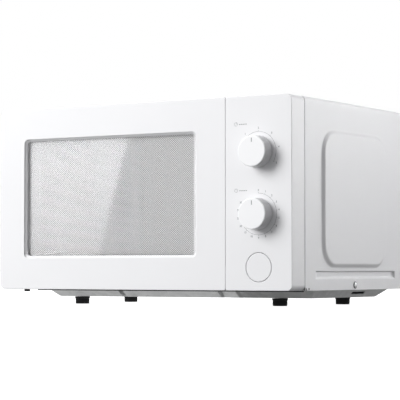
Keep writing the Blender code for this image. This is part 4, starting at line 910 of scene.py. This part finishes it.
def door_screen():
    """The pressed steel pan of the door, its field of small round holes and its choke channel."""
    low, high = node_box("door_screen")
    front = low.y
    outer = (low.x, high.x, low.z, high.z)
    sections = [
        (front + SHEET, *FIELD, FIELD_CORNER),
        (front + SHEET, *shrunk(outer, SCREEN_BEND, SCREEN_CORNER)),
        (high.y, *shrunk(outer, SHEET, SCREEN_CORNER)),
        (high.y, *outer, SCREEN_CORNER),
        (front + SCREEN_BEND, *outer, SCREEN_CORNER),
        (front + SCREEN_BREAK, *shrunk(outer, SCREEN_BREAK, SCREEN_CORNER)),
        (front, *shrunk(outer, SCREEN_BEND, SCREEN_CORNER)),
        (front, *FIELD, FIELD_CORNER),
    ]
    piece = new_piece("screen_pan", sweep("Y", sections, closed=True), SCREEN_PAINT, "door")
    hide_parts("door_screen")
    holes = perforated_field(grown(FIELD, FIELD_OVERLAP), front + HOLE_SHEET[0], front + HOLE_SHEET[1])
    new_piece("screen_holes", holes, SCREEN_PAINT, "door")
    inner = grown(FIELD, CHOKE_MARGIN)
    rim = grown(outer, -CHOKE_RIM)
    choke = [
        (front + SHEET, *inner, SCREEN_CORNER),
        (front + CHOKE_FLOOR, *inner, SCREEN_CORNER),
        (front + CHOKE_FLOOR, *rim, CHOKE_CORNER),
        (front + CHOKE_BACK, *rim, CHOKE_CORNER),
        (front + CHOKE_BACK, *grown(inner, CHOKE_LIP), SCREEN_CORNER),
    ]
    new_piece("choke_channel", sweep("Y", choke, capped=False), SCREEN_PAINT, "door")


# ---- Control panel ---------------------------------------------------------
def control_panel():
    """The moulded panel with its button well and two shaft holes."""
    box = (SEAM_X + SEAM_GAP / 2, RIGHT_X, BASE_Z, TOP_Z)
    corners = (SEAM_CORNER, FACE_CORNER, FACE_CORNER, SEAM_CORNER)
    sections = [(BACK_Y, *box, corners)]
    sections += face_sections(box, corners, -1)
    piece = new_piece("panel_moulding", sweep("Y", sections), WHITE_PLASTIC, "oven")
    inside = (*grown(box, -PANEL_WALL), PANEL_INNER_CORNER)
    cut(piece, sweep("Y", [(FRONT_Y + PANEL_SKIN, *inside), (BACK_Y + CUT_MARGIN, *inside)]))
    radius = BUTTON_RADIUS + WELL_GAP
    mouth = radius + WELL_EDGE
    well = lathe([
        (0.0, CUT_MARGIN),
        (mouth, CUT_MARGIN),
        (mouth, 0.0),
        (radius, -WELL_EDGE),
        (radius, -CUT_MARGIN),
        (0.0, -CUT_MARGIN),
    ])
    cut(piece, turn_to(well, "-Y", (BUTTON_X, FRONT_Y, BUTTON_Z)))
    for x, z in KNOB_CENTRES.values():
        cut(piece, turn_to(pin(SHAFT_HOLE_RADIUS, CUT_MARGIN, -CUT_MARGIN), "-Y", (x, FRONT_Y, z)))
    flat_shading_where_flat(piece)
    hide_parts("control_panel")


def button_guide():
    """The cup behind the panel's skin that guides the button, with a hole for the spring."""
    guide = turn_to(lathe(GUIDE, 64), "-Y", (BUTTON_X, FRONT_Y + PANEL_SKIN, BUTTON_Z))
    new_piece("button_guide", guide, WHITE_PLASTIC, "oven")


def pointer_block(centre, across, along, front, back):
    """A block in the pointer line's place with room left across and along it, from front to back."""
    half_width = POINTER_HALF_WIDTH - across
    low = (centre[0] - half_width, KNOB_FACE_Y + front, centre[1] + POINTER[0] + along)
    high = (centre[0] + half_width, KNOB_FACE_Y + back, centre[1] + POINTER[1] - along)
    mesh = bmesh.new()
    add_block(mesh, low, high)
    return mesh


def knob(name, centre):
    """A flat-faced knob with a rounded rim, a finely ribbed side and a pointer line."""
    proud = FRONT_Y - KNOB_FACE_Y
    face_radius = KNOB_RADIUS - KNOB_TAPER
    profile = [(0.0, proud), (face_radius - KNOB_RIM - RIM_FLAT, proud)]
    profile += rim_profile(face_radius, proud, KNOB_RIM, 6)
    profile += KNOB_FOOT
    profile += [(KNOB_BORE_RADIUS, KNOB_UNDERSIDE), (KNOB_BORE_RADIUS, KNOB_BORE_TOP), (0.0, KNOB_BORE_TOP)]
    mesh = turn_to(lathe(profile, 160), "-Y", (centre[0], FRONT_Y, centre[1]))
    body = KNOB_BODIES[name]
    piece = new_piece(name + "_turned", mesh, KNOB_PLASTIC, body, 28.0)
    cut(piece, pointer_block(centre, across=0.0, along=0.0, front=-2.0, back=0.45))
    # The side faces take the darker material: painted shade on the knob's side.
    piece.data.materials.append(KNOB_SIDE_SHADED_PLASTIC)
    for face in piece.data.polygons:
        behind_rim = face.center.y / MM > KNOB_FACE_Y + KNOB_RIM
        if behind_rim and abs(face.normal.y) < 0.5:
            face.material_index = 1
    flat_shading_where_flat(piece)
    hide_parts(name)
    ink = pointer_block(centre, across=0.03, along=0.05, front=0.25, back=0.40)
    new_piece(name + "_pointer", ink, PRINT, body)


def door_button():
    """The round push button, its face level with the panel, and its stem."""
    profile = [(0.0, 0.0), (BUTTON_RADIUS - BUTTON_EDGE - RIM_FLAT, 0.0)]
    profile += rim_profile(BUTTON_RADIUS, 0.0, BUTTON_EDGE, 5)
    profile += BUTTON_BACK
    mesh = turn_to(lathe(profile, 128), "-Y", (BUTTON_X, FRONT_Y, BUTTON_Z))
    piece = new_piece("button_cap", mesh, WHITE_PLASTIC, "button", 28.0)
    flat_shading_where_flat(piece)
    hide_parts("door_button")


# ---- Dial printing ---------------------------------------------------------
def dial_point(centre, angle_degrees, radius):
    """A point on the panel at a clockwise angle from straight up."""
    angle = math.radians(angle_degrees)
    return centre[0] + radius * math.sin(angle), centre[1] + radius * math.cos(angle)


def add_print_strip(mesh, points, width):
    """A thin printed line through points on the panel face."""
    back = FRONT_Y - PRINT_LIFT
    front = back - PRINT_THICKNESS
    rows = []
    for index, (x, z) in enumerate(points):
        before = points[max(index - 1, 0)]
        after = points[min(index + 1, len(points) - 1)]
        along = Vector((after[0] - before[0], after[1] - before[1])).normalized()
        side = Vector((-along.y, along.x)) * width / 2
        corners = []
        for y in (front, back):
            corners.append(mesh.verts.new((x + side.x, y, z + side.y)))
            corners.append(mesh.verts.new((x - side.x, y, z - side.y)))
        rows.append(corners)
    for first, second in zip(rows, rows[1:]):
        for a, b in ((0, 1), (1, 3), (3, 2), (2, 0)):
            mesh.faces.new((first[a], first[b], second[b], second[a]))
    for row in (rows[0], rows[-1]):
        mesh.faces.new((row[0], row[1], row[3], row[2]))


def dial_marks(name, centre, arc, marks, stops):
    """The printed arc of a dial with a tick and a number at each stop.

    stops is the first stop's angle and the angle from each to the next.
    """
    start, end, radius = arc
    mesh = bmesh.new()
    steps = 72
    points = [dial_point(centre, start + (end - start) * step / steps, radius) for step in range(steps + 1)]
    add_print_strip(mesh, points, PRINT_WIDTH)
    for index, text in enumerate(marks):
        angle = stops[0] + stops[1] * index
        tick = [dial_point(centre, angle, radius), dial_point(centre, angle, radius + TICK_LENGTH)]
        add_print_strip(mesh, tick, PRINT_WIDTH)
        number(name + "_number_" + text, text, dial_point(centre, angle, LABEL_RADIUS))
    face_outward(mesh)
    new_piece(name + "_arc", mesh, PRINT, "oven")


def number(name, text, place):
    """A small printed number, centred on a point of the panel."""
    curve = bpy.data.curves.new(name, "FONT")
    curve.body = text
    curve.size = LABEL_SIZE * MM
    curve.offset = LABEL_WEIGHT * MM
    curve.align_x = "CENTER"
    curve.align_y = "CENTER"
    curve.extrude = PRINT_THICKNESS / 2 * MM
    curve.materials.append(PRINT)
    piece = placed(name, curve)
    piece.location = Vector((place[0], FRONT_Y - PRINT_LIFT - PRINT_THICKNESS / 2, place[1])) * MM
    piece.rotation_euler = (math.pi / 2, 0.0, 0.0)
    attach(piece, "oven")


def dial_icon(name, place):
    """A generic ring with a pointer beside four short bars."""
    x, z, hand_angle = place
    mesh = bmesh.new()
    ring = [dial_point((x, z), step * 10.0, ICON_RADIUS) for step in range(37)]
    add_print_strip(mesh, ring, ICON_WIDTH)
    add_print_strip(mesh, [(x, z), dial_point((x, z), hand_angle, ICON_HAND)], ICON_WIDTH)
    for bar in range(ICON_BARS):
        low_x = x + BAR_START + bar * BAR_PITCH
        add_print_strip(mesh, [(low_x, z - BAR_DROP), (low_x + BAR_LENGTH, z - BAR_DROP)], BAR_WIDTH)
    face_outward(mesh)
    new_piece(name, mesh, PRINT, "oven")


def dial_printing():
    """Both dials with their marks and symbols."""
    dial_marks("power_dial", KNOB_CENTRES["power_knob"], POWER_ARC, POWER_MARKS, POWER_STOPS)
    dial_marks("timer_dial", KNOB_CENTRES["timer_knob"], TIMER_ARC, TIMER_MARKS, TIMER_STOPS)
    dial_icon("power_icon", POWER_ICON)
    dial_icon("timer_icon", TIMER_ICON)


# ---- Cabinet ---------------------------------------------------------------
def side_relief(y, z):
    """How far the side wall stands out at a point: the raised field less the groove."""
    pad = smooth_step(-rounded_distance(y, z, PAD, PAD_CORNER) / PAD_BEVEL)
    lower_half = smooth_step((GROOVE_MIDDLE_Z - z) / GROOVE_BLEND + 0.5)
    slope = GROOVE_SLOPES[0] + (GROOVE_SLOPES[1] - GROOVE_SLOPES[0]) * lower_half
    groove = smooth_step(-rounded_distance(y, z, GROOVE, GROOVE_CORNER) / slope)
    return PAD_HEIGHT * pad - GROOVE_DEPTH * groove


def in_side_opening(point):
    """Whether a point lies in the notch or the hole at the side wall's lower front corner."""
    behind = point.y - PLATE_BACK_Y
    above = point.z - BASE_Z
    return any(front < behind < back and low < above < high for front, back, low, high in SIDE_OPENINGS)


def joggle(y):
    """The slight step inward where the wrap meets the rear flange."""
    return JOGGLE_DEPTH * smooth_step((y - JOGGLE_Y) / JOGGLE_LENGTH)


def pad_bands(low, high):
    """Bands of finer grid lines over the raised field's bevels and corners."""
    return [
        (low - 0.5, low + PAD_BEVEL + 0.5, GRID_BEVEL),
        (low + PAD_BEVEL, low + PAD_CORNER, GRID_CORNER),
        (high - PAD_CORNER, high - PAD_BEVEL, GRID_CORNER),
        (high - PAD_BEVEL - 0.5, high + 0.5, GRID_BEVEL),
    ]


def groove_bands(low, high, low_reach):
    """Bands of finer grid lines over the groove's two edges."""
    return [(low - 0.5, low + low_reach, GRID_FINE), (high - 2.0, high + 0.5, GRID_FINE)]


def cabinet_outline():
    """Points (x, z, outward) of the wrap from the right foot over the top to the left foot."""
    bands = [(BASE_Z, BASE_Z + 3.0, GRID_FRONT)]
    bands += groove_bands(GROOVE[2], GROOVE[3], 4.0)
    bands += pad_bands(PAD[2], PAD[3])
    heights = graded_lines(BASE_Z, TOP_Z - CABINET_BEND, GRID_COARSE, bands)
    right = [(RIGHT_X, z, (1.0, 0.0)) for z in heights]
    half_top = RIGHT_X - CABINET_BEND
    bend = []
    for sine, cosine in quarter_turn(8)[1:-1]:
        z = TOP_Z - CABINET_BEND + CABINET_BEND * sine
        bend.append((half_top + CABINET_BEND * cosine, z, (cosine, sine)))
    top_count = 24
    top = [(half_top - 2 * half_top * step / top_count, TOP_Z, (0.0, 1.0)) for step in range(top_count + 1)]
    half = right + bend
    mirrored = [(-x, z, (-nx, nz)) for x, z, (nx, nz) in reversed(half)]
    return half + top + mirrored


def outer_cabinet():
    """The wrapped steel cover, pressed from one sheet."""
    bands = pad_bands(PAD[0], PAD[1])
    bands += groove_bands(GROOVE[0], GROOVE[1], 2.0)
    bands.append((JOGGLE_Y - 0.4, JOGGLE_Y + 2.0, 0.4))
    bands.append((PLATE_BACK_Y, PLATE_BACK_Y + 12.0, GRID_FRONT))
    outline = cabinet_outline()
    mesh = bmesh.new()
    rows = []
    for y in graded_lines(CABINET_START_Y, CABINET_BACK_Y, GRID_COARSE, bands):
        row = []
        for x, z, (out_x, out_z) in outline:
            out = -joggle(y)
            if abs(out_x) == 1.0:
                out += side_relief(y, z)
            row.append(mesh.verts.new((x + out_x * out, y, z + out_z * out)))
        rows.append(row)
    skin(mesh, rows, in_side_opening)
    face_outward(mesh)
    piece = new_piece("cabinet_wrap", mesh, POWDER_COAT, "oven", 60.0)
    sheet_metal(piece)
    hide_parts("outer_cabinet")


def corner_brackets():
    """Dark plastic brackets behind the openings at the side walls' lower front corners."""
    mesh = bmesh.new()
    outer = RIGHT_X - BRACKET_DEPTHS[0]
    inner = RIGHT_X - BRACKET_DEPTHS[1]
    for low_x, high_x in ((inner, outer), (-outer, -inner)):
        low = (low_x, PLATE_BACK_Y + BRACKET_Y[0], BASE_Z + BRACKET_Z[0])
        high = (high_x, PLATE_BACK_Y + BRACKET_Y[1], BASE_Z + BRACKET_Z[1])
        add_block(mesh, low, high)
    break_edges(mesh)
    new_piece("corner_brackets", mesh, BLACK_PLASTIC, "oven")


def side_screws():
    """Cross-recess screws that hold the wrap to the base, each inside a raised black ring that paints the
    shade of the gap round the head.
    """
    for name, axis, sign in (("side_screw_right", "+X", 1), ("side_screw_left", "-X", -1)):
        middle = node_middle(name)
        place = (sign * RIGHT_X, middle.y, middle.z)
        profile = [(0.0, SCREW_HEIGHT)]
        for sine, cosine in quarter_turn(6)[1:]:
            profile.append((SCREW_RADIUS * sine, SCREW_BRIM + (SCREW_HEIGHT - SCREW_BRIM) * cosine))
        profile += SCREW_SHANK
        mesh = turn_to(lathe(profile, 40), axis, place)
        piece = new_piece(name + "_head", mesh, BRIGHT_METAL, "oven")
        low_x, high_x = sorted(sign * (RIGHT_X + height) for height in (RECESS_FLOOR, RECESS_TOP))
        for half_y, half_z in (RECESS_HALVES, RECESS_HALVES[::-1]):
            recess = bmesh.new()
            low = (low_x, middle.y - half_y, middle.z - half_z)
            high = (high_x, middle.y + half_y, middle.z + half_z)
            add_block(recess, low, high)
            cut(piece, recess)
        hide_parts(name)
        # The black ring is painted shade round the head.
        ring = turn_to(lathe(SCREW_SHADE_RING, 40), axis, place)
        new_piece(name + "_shade_ring", ring, BLACK_PLASTIC, "oven")


# ---- Base pan and feet -----------------------------------------------------
def pan_depth(x, y):
    """0 on the rim and 1 on the pan's floor, sloping between the two outlines."""
    share = min(
        (x - PAN_TOP[0]) / (PAN_BOTTOM[0] - PAN_TOP[0]),
        (PAN_TOP[1] - x) / (PAN_TOP[1] - PAN_BOTTOM[1]),
        (y - PAN_TOP[2]) / (PAN_BOTTOM[2] - PAN_TOP[2]),
        (PAN_TOP[3] - y) / (PAN_TOP[3] - PAN_BOTTOM[3]),
    )
    return min(max(share, 0.0), 1.0)


def front_pressing(x):
    """How far the front skirt is pressed forward, or back where negative, at a place along it."""
    for low, high in FRONT_DENTS:
        if low < x < high:
            return -DENT_DEPTH
    nearest = min(abs(x - middle) for middle in GUSSETS_X)
    return GUSSET_REACH * smooth_step((GUSSET_HALF_WIDTH - nearest) / PRESSING_BLEND)


def in_pan_slot(point):
    """Whether a point of the pan lies in one of the oblong slots of its two side skirts."""
    left = abs(point.x - (PAN_TOP[0] + PAN_SLOT_INSET))
    right = abs(point.x - (PAN_TOP[1] - PAN_SLOT_INSET))
    return min(left, right) < PAN_SLOT_HALF and PAN_SLOT_Y[0] < point.y < PAN_SLOT_Y[1]


def pan_ribs(x, y):
    """Stiffening ribs pressed upward: two diagonals and a ring round the motor."""
    from_middle_x = x - (PAN_BOTTOM[0] + PAN_BOTTOM[1]) / 2
    from_middle_y = y - (PAN_BOTTOM[2] + PAN_BOTTOM[3]) / 2
    rise = 0.0
    for slope in RIB_SLOPES:
        across = abs(from_middle_y - slope * from_middle_x) / math.hypot(1.0, slope)
        if RIB_REACH[0] < abs(from_middle_x) < RIB_REACH[1]:
            rise = max(rise, RIB_RISE * smooth_step((RIB_HALF_WIDTH - across) / PRESSING_BLEND))
    ring = abs(math.hypot(from_middle_x, from_middle_y) - RING_RADIUS)
    return max(rise, RING_RISE * smooth_step((RING_HALF_WIDTH - ring) / PRESSING_BLEND))


def base_pan():
    """The pressed tray under the oven, as a fine sheet with its skirt and ribs."""
    x_bands = [
        (PAN_TOP[0] - 1.0, PAN_BOTTOM[0] + 1.0, 1.0),
        (PAN_BOTTOM[1] - 1.0, PAN_TOP[1] + 1.0, 1.0),
    ]
    x_bands += [(low - 1.0, high + 1.0, 0.5) for low, high in FRONT_DENTS]
    gusset_reach = GUSSET_HALF_WIDTH + 0.5
    x_bands += [(middle - gusset_reach, middle + gusset_reach, 1.0) for middle in GUSSETS_X]
    y_bands = [
        (PAN_TOP[2] - GUSSET_REACH - 1.0, PAN_BOTTOM[2] + DENT_DEPTH + 1.0, 1.2),
        (PAN_BOTTOM[3] - 1.0, PAN_TOP[3] + 1.0, 1.5),
    ]
    columns = graded_lines(-PAN_HIGH.x, PAN_HIGH.x, 4.0, x_bands)
    rim_z = BASE_Z + PAN_RIM_LIFT
    floor_z = PAN_LOW.z
    mesh = bmesh.new()
    grid = []
    for y in graded_lines(PAN_LOW.y, PAN_HIGH.y, 3.5, y_bands):
        line = []
        for x in columns:
            share = pan_depth(x, y + front_pressing(x) if y < 0.0 else y)
            rise = pan_ribs(x, y) if share == 1.0 else 0.0
            line.append(mesh.verts.new((x, y, rim_z + (floor_z - rim_z) * share + rise)))
        grid.append(line)
    skin(mesh, grid, in_pan_slot)
    piece = new_piece("pan_pressing", mesh, ZINC, "oven", 50.0)
    sheet_metal(piece)
    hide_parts("base_pan")


def shadow_strip_and_stud():
    """A black strip just under the door and the panel, painted shadow of the gap above the pan's skirt, and
    a hinge stud.
    """
    mesh = bmesh.new()
    origin = Vector((0.0, PLATE_BACK_Y, BASE_Z))
    for low, high in (SHADOW_GAP_STRIP, STUD):
        add_block(mesh, origin + Vector(low), origin + Vector(high))
    break_edges(mesh)
    new_piece("shadow_strip_and_stud", mesh, RUBBER, "oven")


def feet():
    """Ribbed rubber feet with a collar above and a screw recess in the sole."""
    for name in FEET:
        middle = node_middle(name)
        top = node_box(name)[1].z
        profile = [(radius, top - depth) for radius, depth in FOOT_COLLAR]
        for rib in range(FOOT_RIBS):
            rib_top = top - FOOT_RIB_TOP - rib * FOOT_RIB_PITCH
            profile += [(radius, rib_top - depth) for radius, depth in FOOT_RIB]
        profile += FOOT_SOLE
        mesh = turn_to(lathe(profile, 64), "+Z", (middle.x, middle.y, 0.0))
        piece = new_piece(name + "_rubber", mesh, RUBBER, "oven")
        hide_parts(name)


# ---- Cavity pieces ---------------------------------------------------------
def turntable():
    """The glass plate with its dished edge and raised rim."""
    low, high = node_box("glass_turntable")
    middle = node_middle("glass_turntable")
    radius = (high.x - low.x) / 2
    outline = PLATE_UPPER + tuple((radius - inward, height) for inward, height in PLATE_RIM) + PLATE_LOWER
    profile = [(distance, low.z + height) for distance, height in outline]
    mesh = turn_to(lathe(profile, 128), "+Z", (middle.x, middle.y, 0.0))
    glass = clear_pane("turntable_glass", (0.90, 0.96, 0.95))
    piece = new_piece("glass_plate", mesh, glass, "turntable", 40.0)
    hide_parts("glass_turntable")


# ---- Camera, stage and light -----------------------------------------------
def camera():
    """The main camera, low in front of the oven's right corner."""
    data = bpy.data.cameras.new("camera")
    data.lens = CAMERA_LENS
    data.sensor_width = CAMERA_SENSOR
    data.clip_end = 50.0
    item = placed("camera", data)
    item.location = CAMERA_PLACE
    item.rotation_euler = (math.radians(90.0 + CAMERA_PITCH), 0.0, math.radians(CAMERA_HEADING))
    bpy.context.scene.camera = item


def stage_card(name, span, shade, glow):
    """A level, evenly glowing card on the stage that sends no light to dull surfaces."""
    low_x, high_x, low_y, high_y, height = span
    mesh = bmesh.new()
    corners = ((low_x, low_y), (high_x, low_y), (high_x, high_y), (low_x, high_y))
    mesh.faces.new([mesh.verts.new((x, y, height)) for x, y in corners])
    look = Shader(name + "_look", (shade, shade, shade), 0.9)
    look.vary_roughness(0.85, 0.95, 4.0)
    look.shader.inputs["Emission Color"].default_value = (1.0, 1.0, 1.0, 1.0)
    look.shader.inputs["Emission Strength"].default_value = glow
    card = placed(name, mesh_data(name, mesh, 1.0))
    card.data.materials.append(look.material)
    card.visible_diffuse = False
    return card


def stage():
    """A white floor, and a darker card that only shows mirrored in the pan's right side, a painted
    reflection of the shaded floor under the oven.
    """
    stage_card("stage_floor", FLOOR_CARD, 0.50, FLOOR_GLOW)
    floor_shade_card = stage_card("painted_floor_shade", SHADED_FLOOR_CARD, 0.10, SHADED_FLOOR_GLOW)
    floor_shade_card.visible_camera = False
    floor_shade_card.visible_shadow = False


def area_light(name, placement, size, power, spread=180.0):
    """A rectangular light; returns its data."""
    data = bpy.data.lights.new(name, "AREA")
    data.shape = "RECTANGLE"
    data.size = size[0]
    data.size_y = size[1]
    data.energy = power
    data.spread = math.radians(spread)
    placed(name, data).matrix_world = placement
    return data


def glare_panel():
    """A dim panel, brighter towards its top, whose tilted right edge is mirrored in the door glass."""
    tilt = Matrix.Rotation(math.radians(GLARE_TILT), 4, "Y")
    centre = Vector(GLARE_EDGE) + tilt @ Vector((-GLARE_SIZE[0] / 2, 0.0, 0.0))
    placement = Matrix.Translation(centre) @ tilt @ Matrix.Rotation(math.pi / 2, 4, "X")
    data = area_light("glare_panel", placement, GLARE_SIZE, GLARE_POWER)
    data.use_nodes = True
    tree = data.node_tree
    split = tree.nodes.new("ShaderNodeSeparateXYZ")
    tree.links.new(tree.nodes.new("ShaderNodeNewGeometry").outputs["Position"], split.inputs["Vector"])
    strength = map_range(tree, split.outputs["Z"], GLARE_STRENGTHS, GLARE_HEIGHTS)
    tree.links.new(strength, tree.nodes["Emission"].inputs["Strength"])


def studio_world():
    """White behind the oven, and a soft fill that fades from above to below."""
    world = bpy.data.worlds.new("studio")
    world.use_nodes = True
    tree = world.node_tree
    nodes = tree.nodes
    links = tree.links
    direction = nodes.new("ShaderNodeTexCoord").outputs["Generated"]
    parts = nodes.new("ShaderNodeSeparateXYZ")
    links.new(direction, parts.inputs["Vector"])
    height = map_range(tree, parts.outputs["Z"], FILL_STRENGTHS, FILL_HEIGHTS, smooth=True)
    facing = nodes.new("ShaderNodeVectorMath")
    facing.operation = "DOT_PRODUCT"
    facing.inputs[1].default_value = DARK_CORNER
    links.new(direction, facing.inputs[0])
    corner_fill = (1.0, DARK_CORNER_FILL)
    dimming = map_range(tree, facing.outputs["Value"], corner_fill, DARK_CORNER_SPAN, smooth=True)
    fill = nodes.new("ShaderNodeMath")
    fill.operation = "MULTIPLY"
    links.new(height, fill.inputs[0])
    links.new(dimming, fill.inputs[1])
    background = nodes["Background"]
    background.inputs["Color"].default_value = FILL_COLOUR
    links.new(fill.outputs["Value"], background.inputs["Strength"])
    backdrop = nodes.new("ShaderNodeBackground")
    backdrop.inputs["Color"].default_value = (1.0, 1.0, 1.0, 1.0)
    mix = nodes.new("ShaderNodeMixShader")
    links.new(nodes.new("ShaderNodeLightPath").outputs["Is Camera Ray"], mix.inputs["Fac"])
    links.new(background.outputs["Background"], mix.inputs[1])
    links.new(backdrop.outputs["Background"], mix.inputs[2])
    links.new(mix.outputs["Shader"], nodes["World Output"].inputs["Surface"])
    bpy.context.scene.world = world


def lights():
    """Softboxes: front left for the face, right rear above for the side wall."""
    studio_world()
    for name, (place, target, size, power, spread) in SOFTBOXES.items():
        turn = (Vector(target) - Vector(place)).to_track_quat("-Z", "Y")
        area_light(name, Matrix.Translation(place) @ turn.to_matrix().to_4x4(), size, power, spread)
    glare_panel()
    bpy.context.scene.view_settings.view_transform = "Standard"


def build():
    """Everything the render shows."""
    camera()
    stage()
    lights()
    dress_cad_nodes()
    door_frame()
    door_glass()
    door_screen()
    control_panel()
    button_guide()
    for name, centre in KNOB_CENTRES.items():
        knob(name, centre)
    door_button()
    dial_printing()
    outer_cabinet()
    corner_brackets()
    side_screws()
    base_pan()
    shadow_strip_and_stud()
    feet()
    turntable()


build()
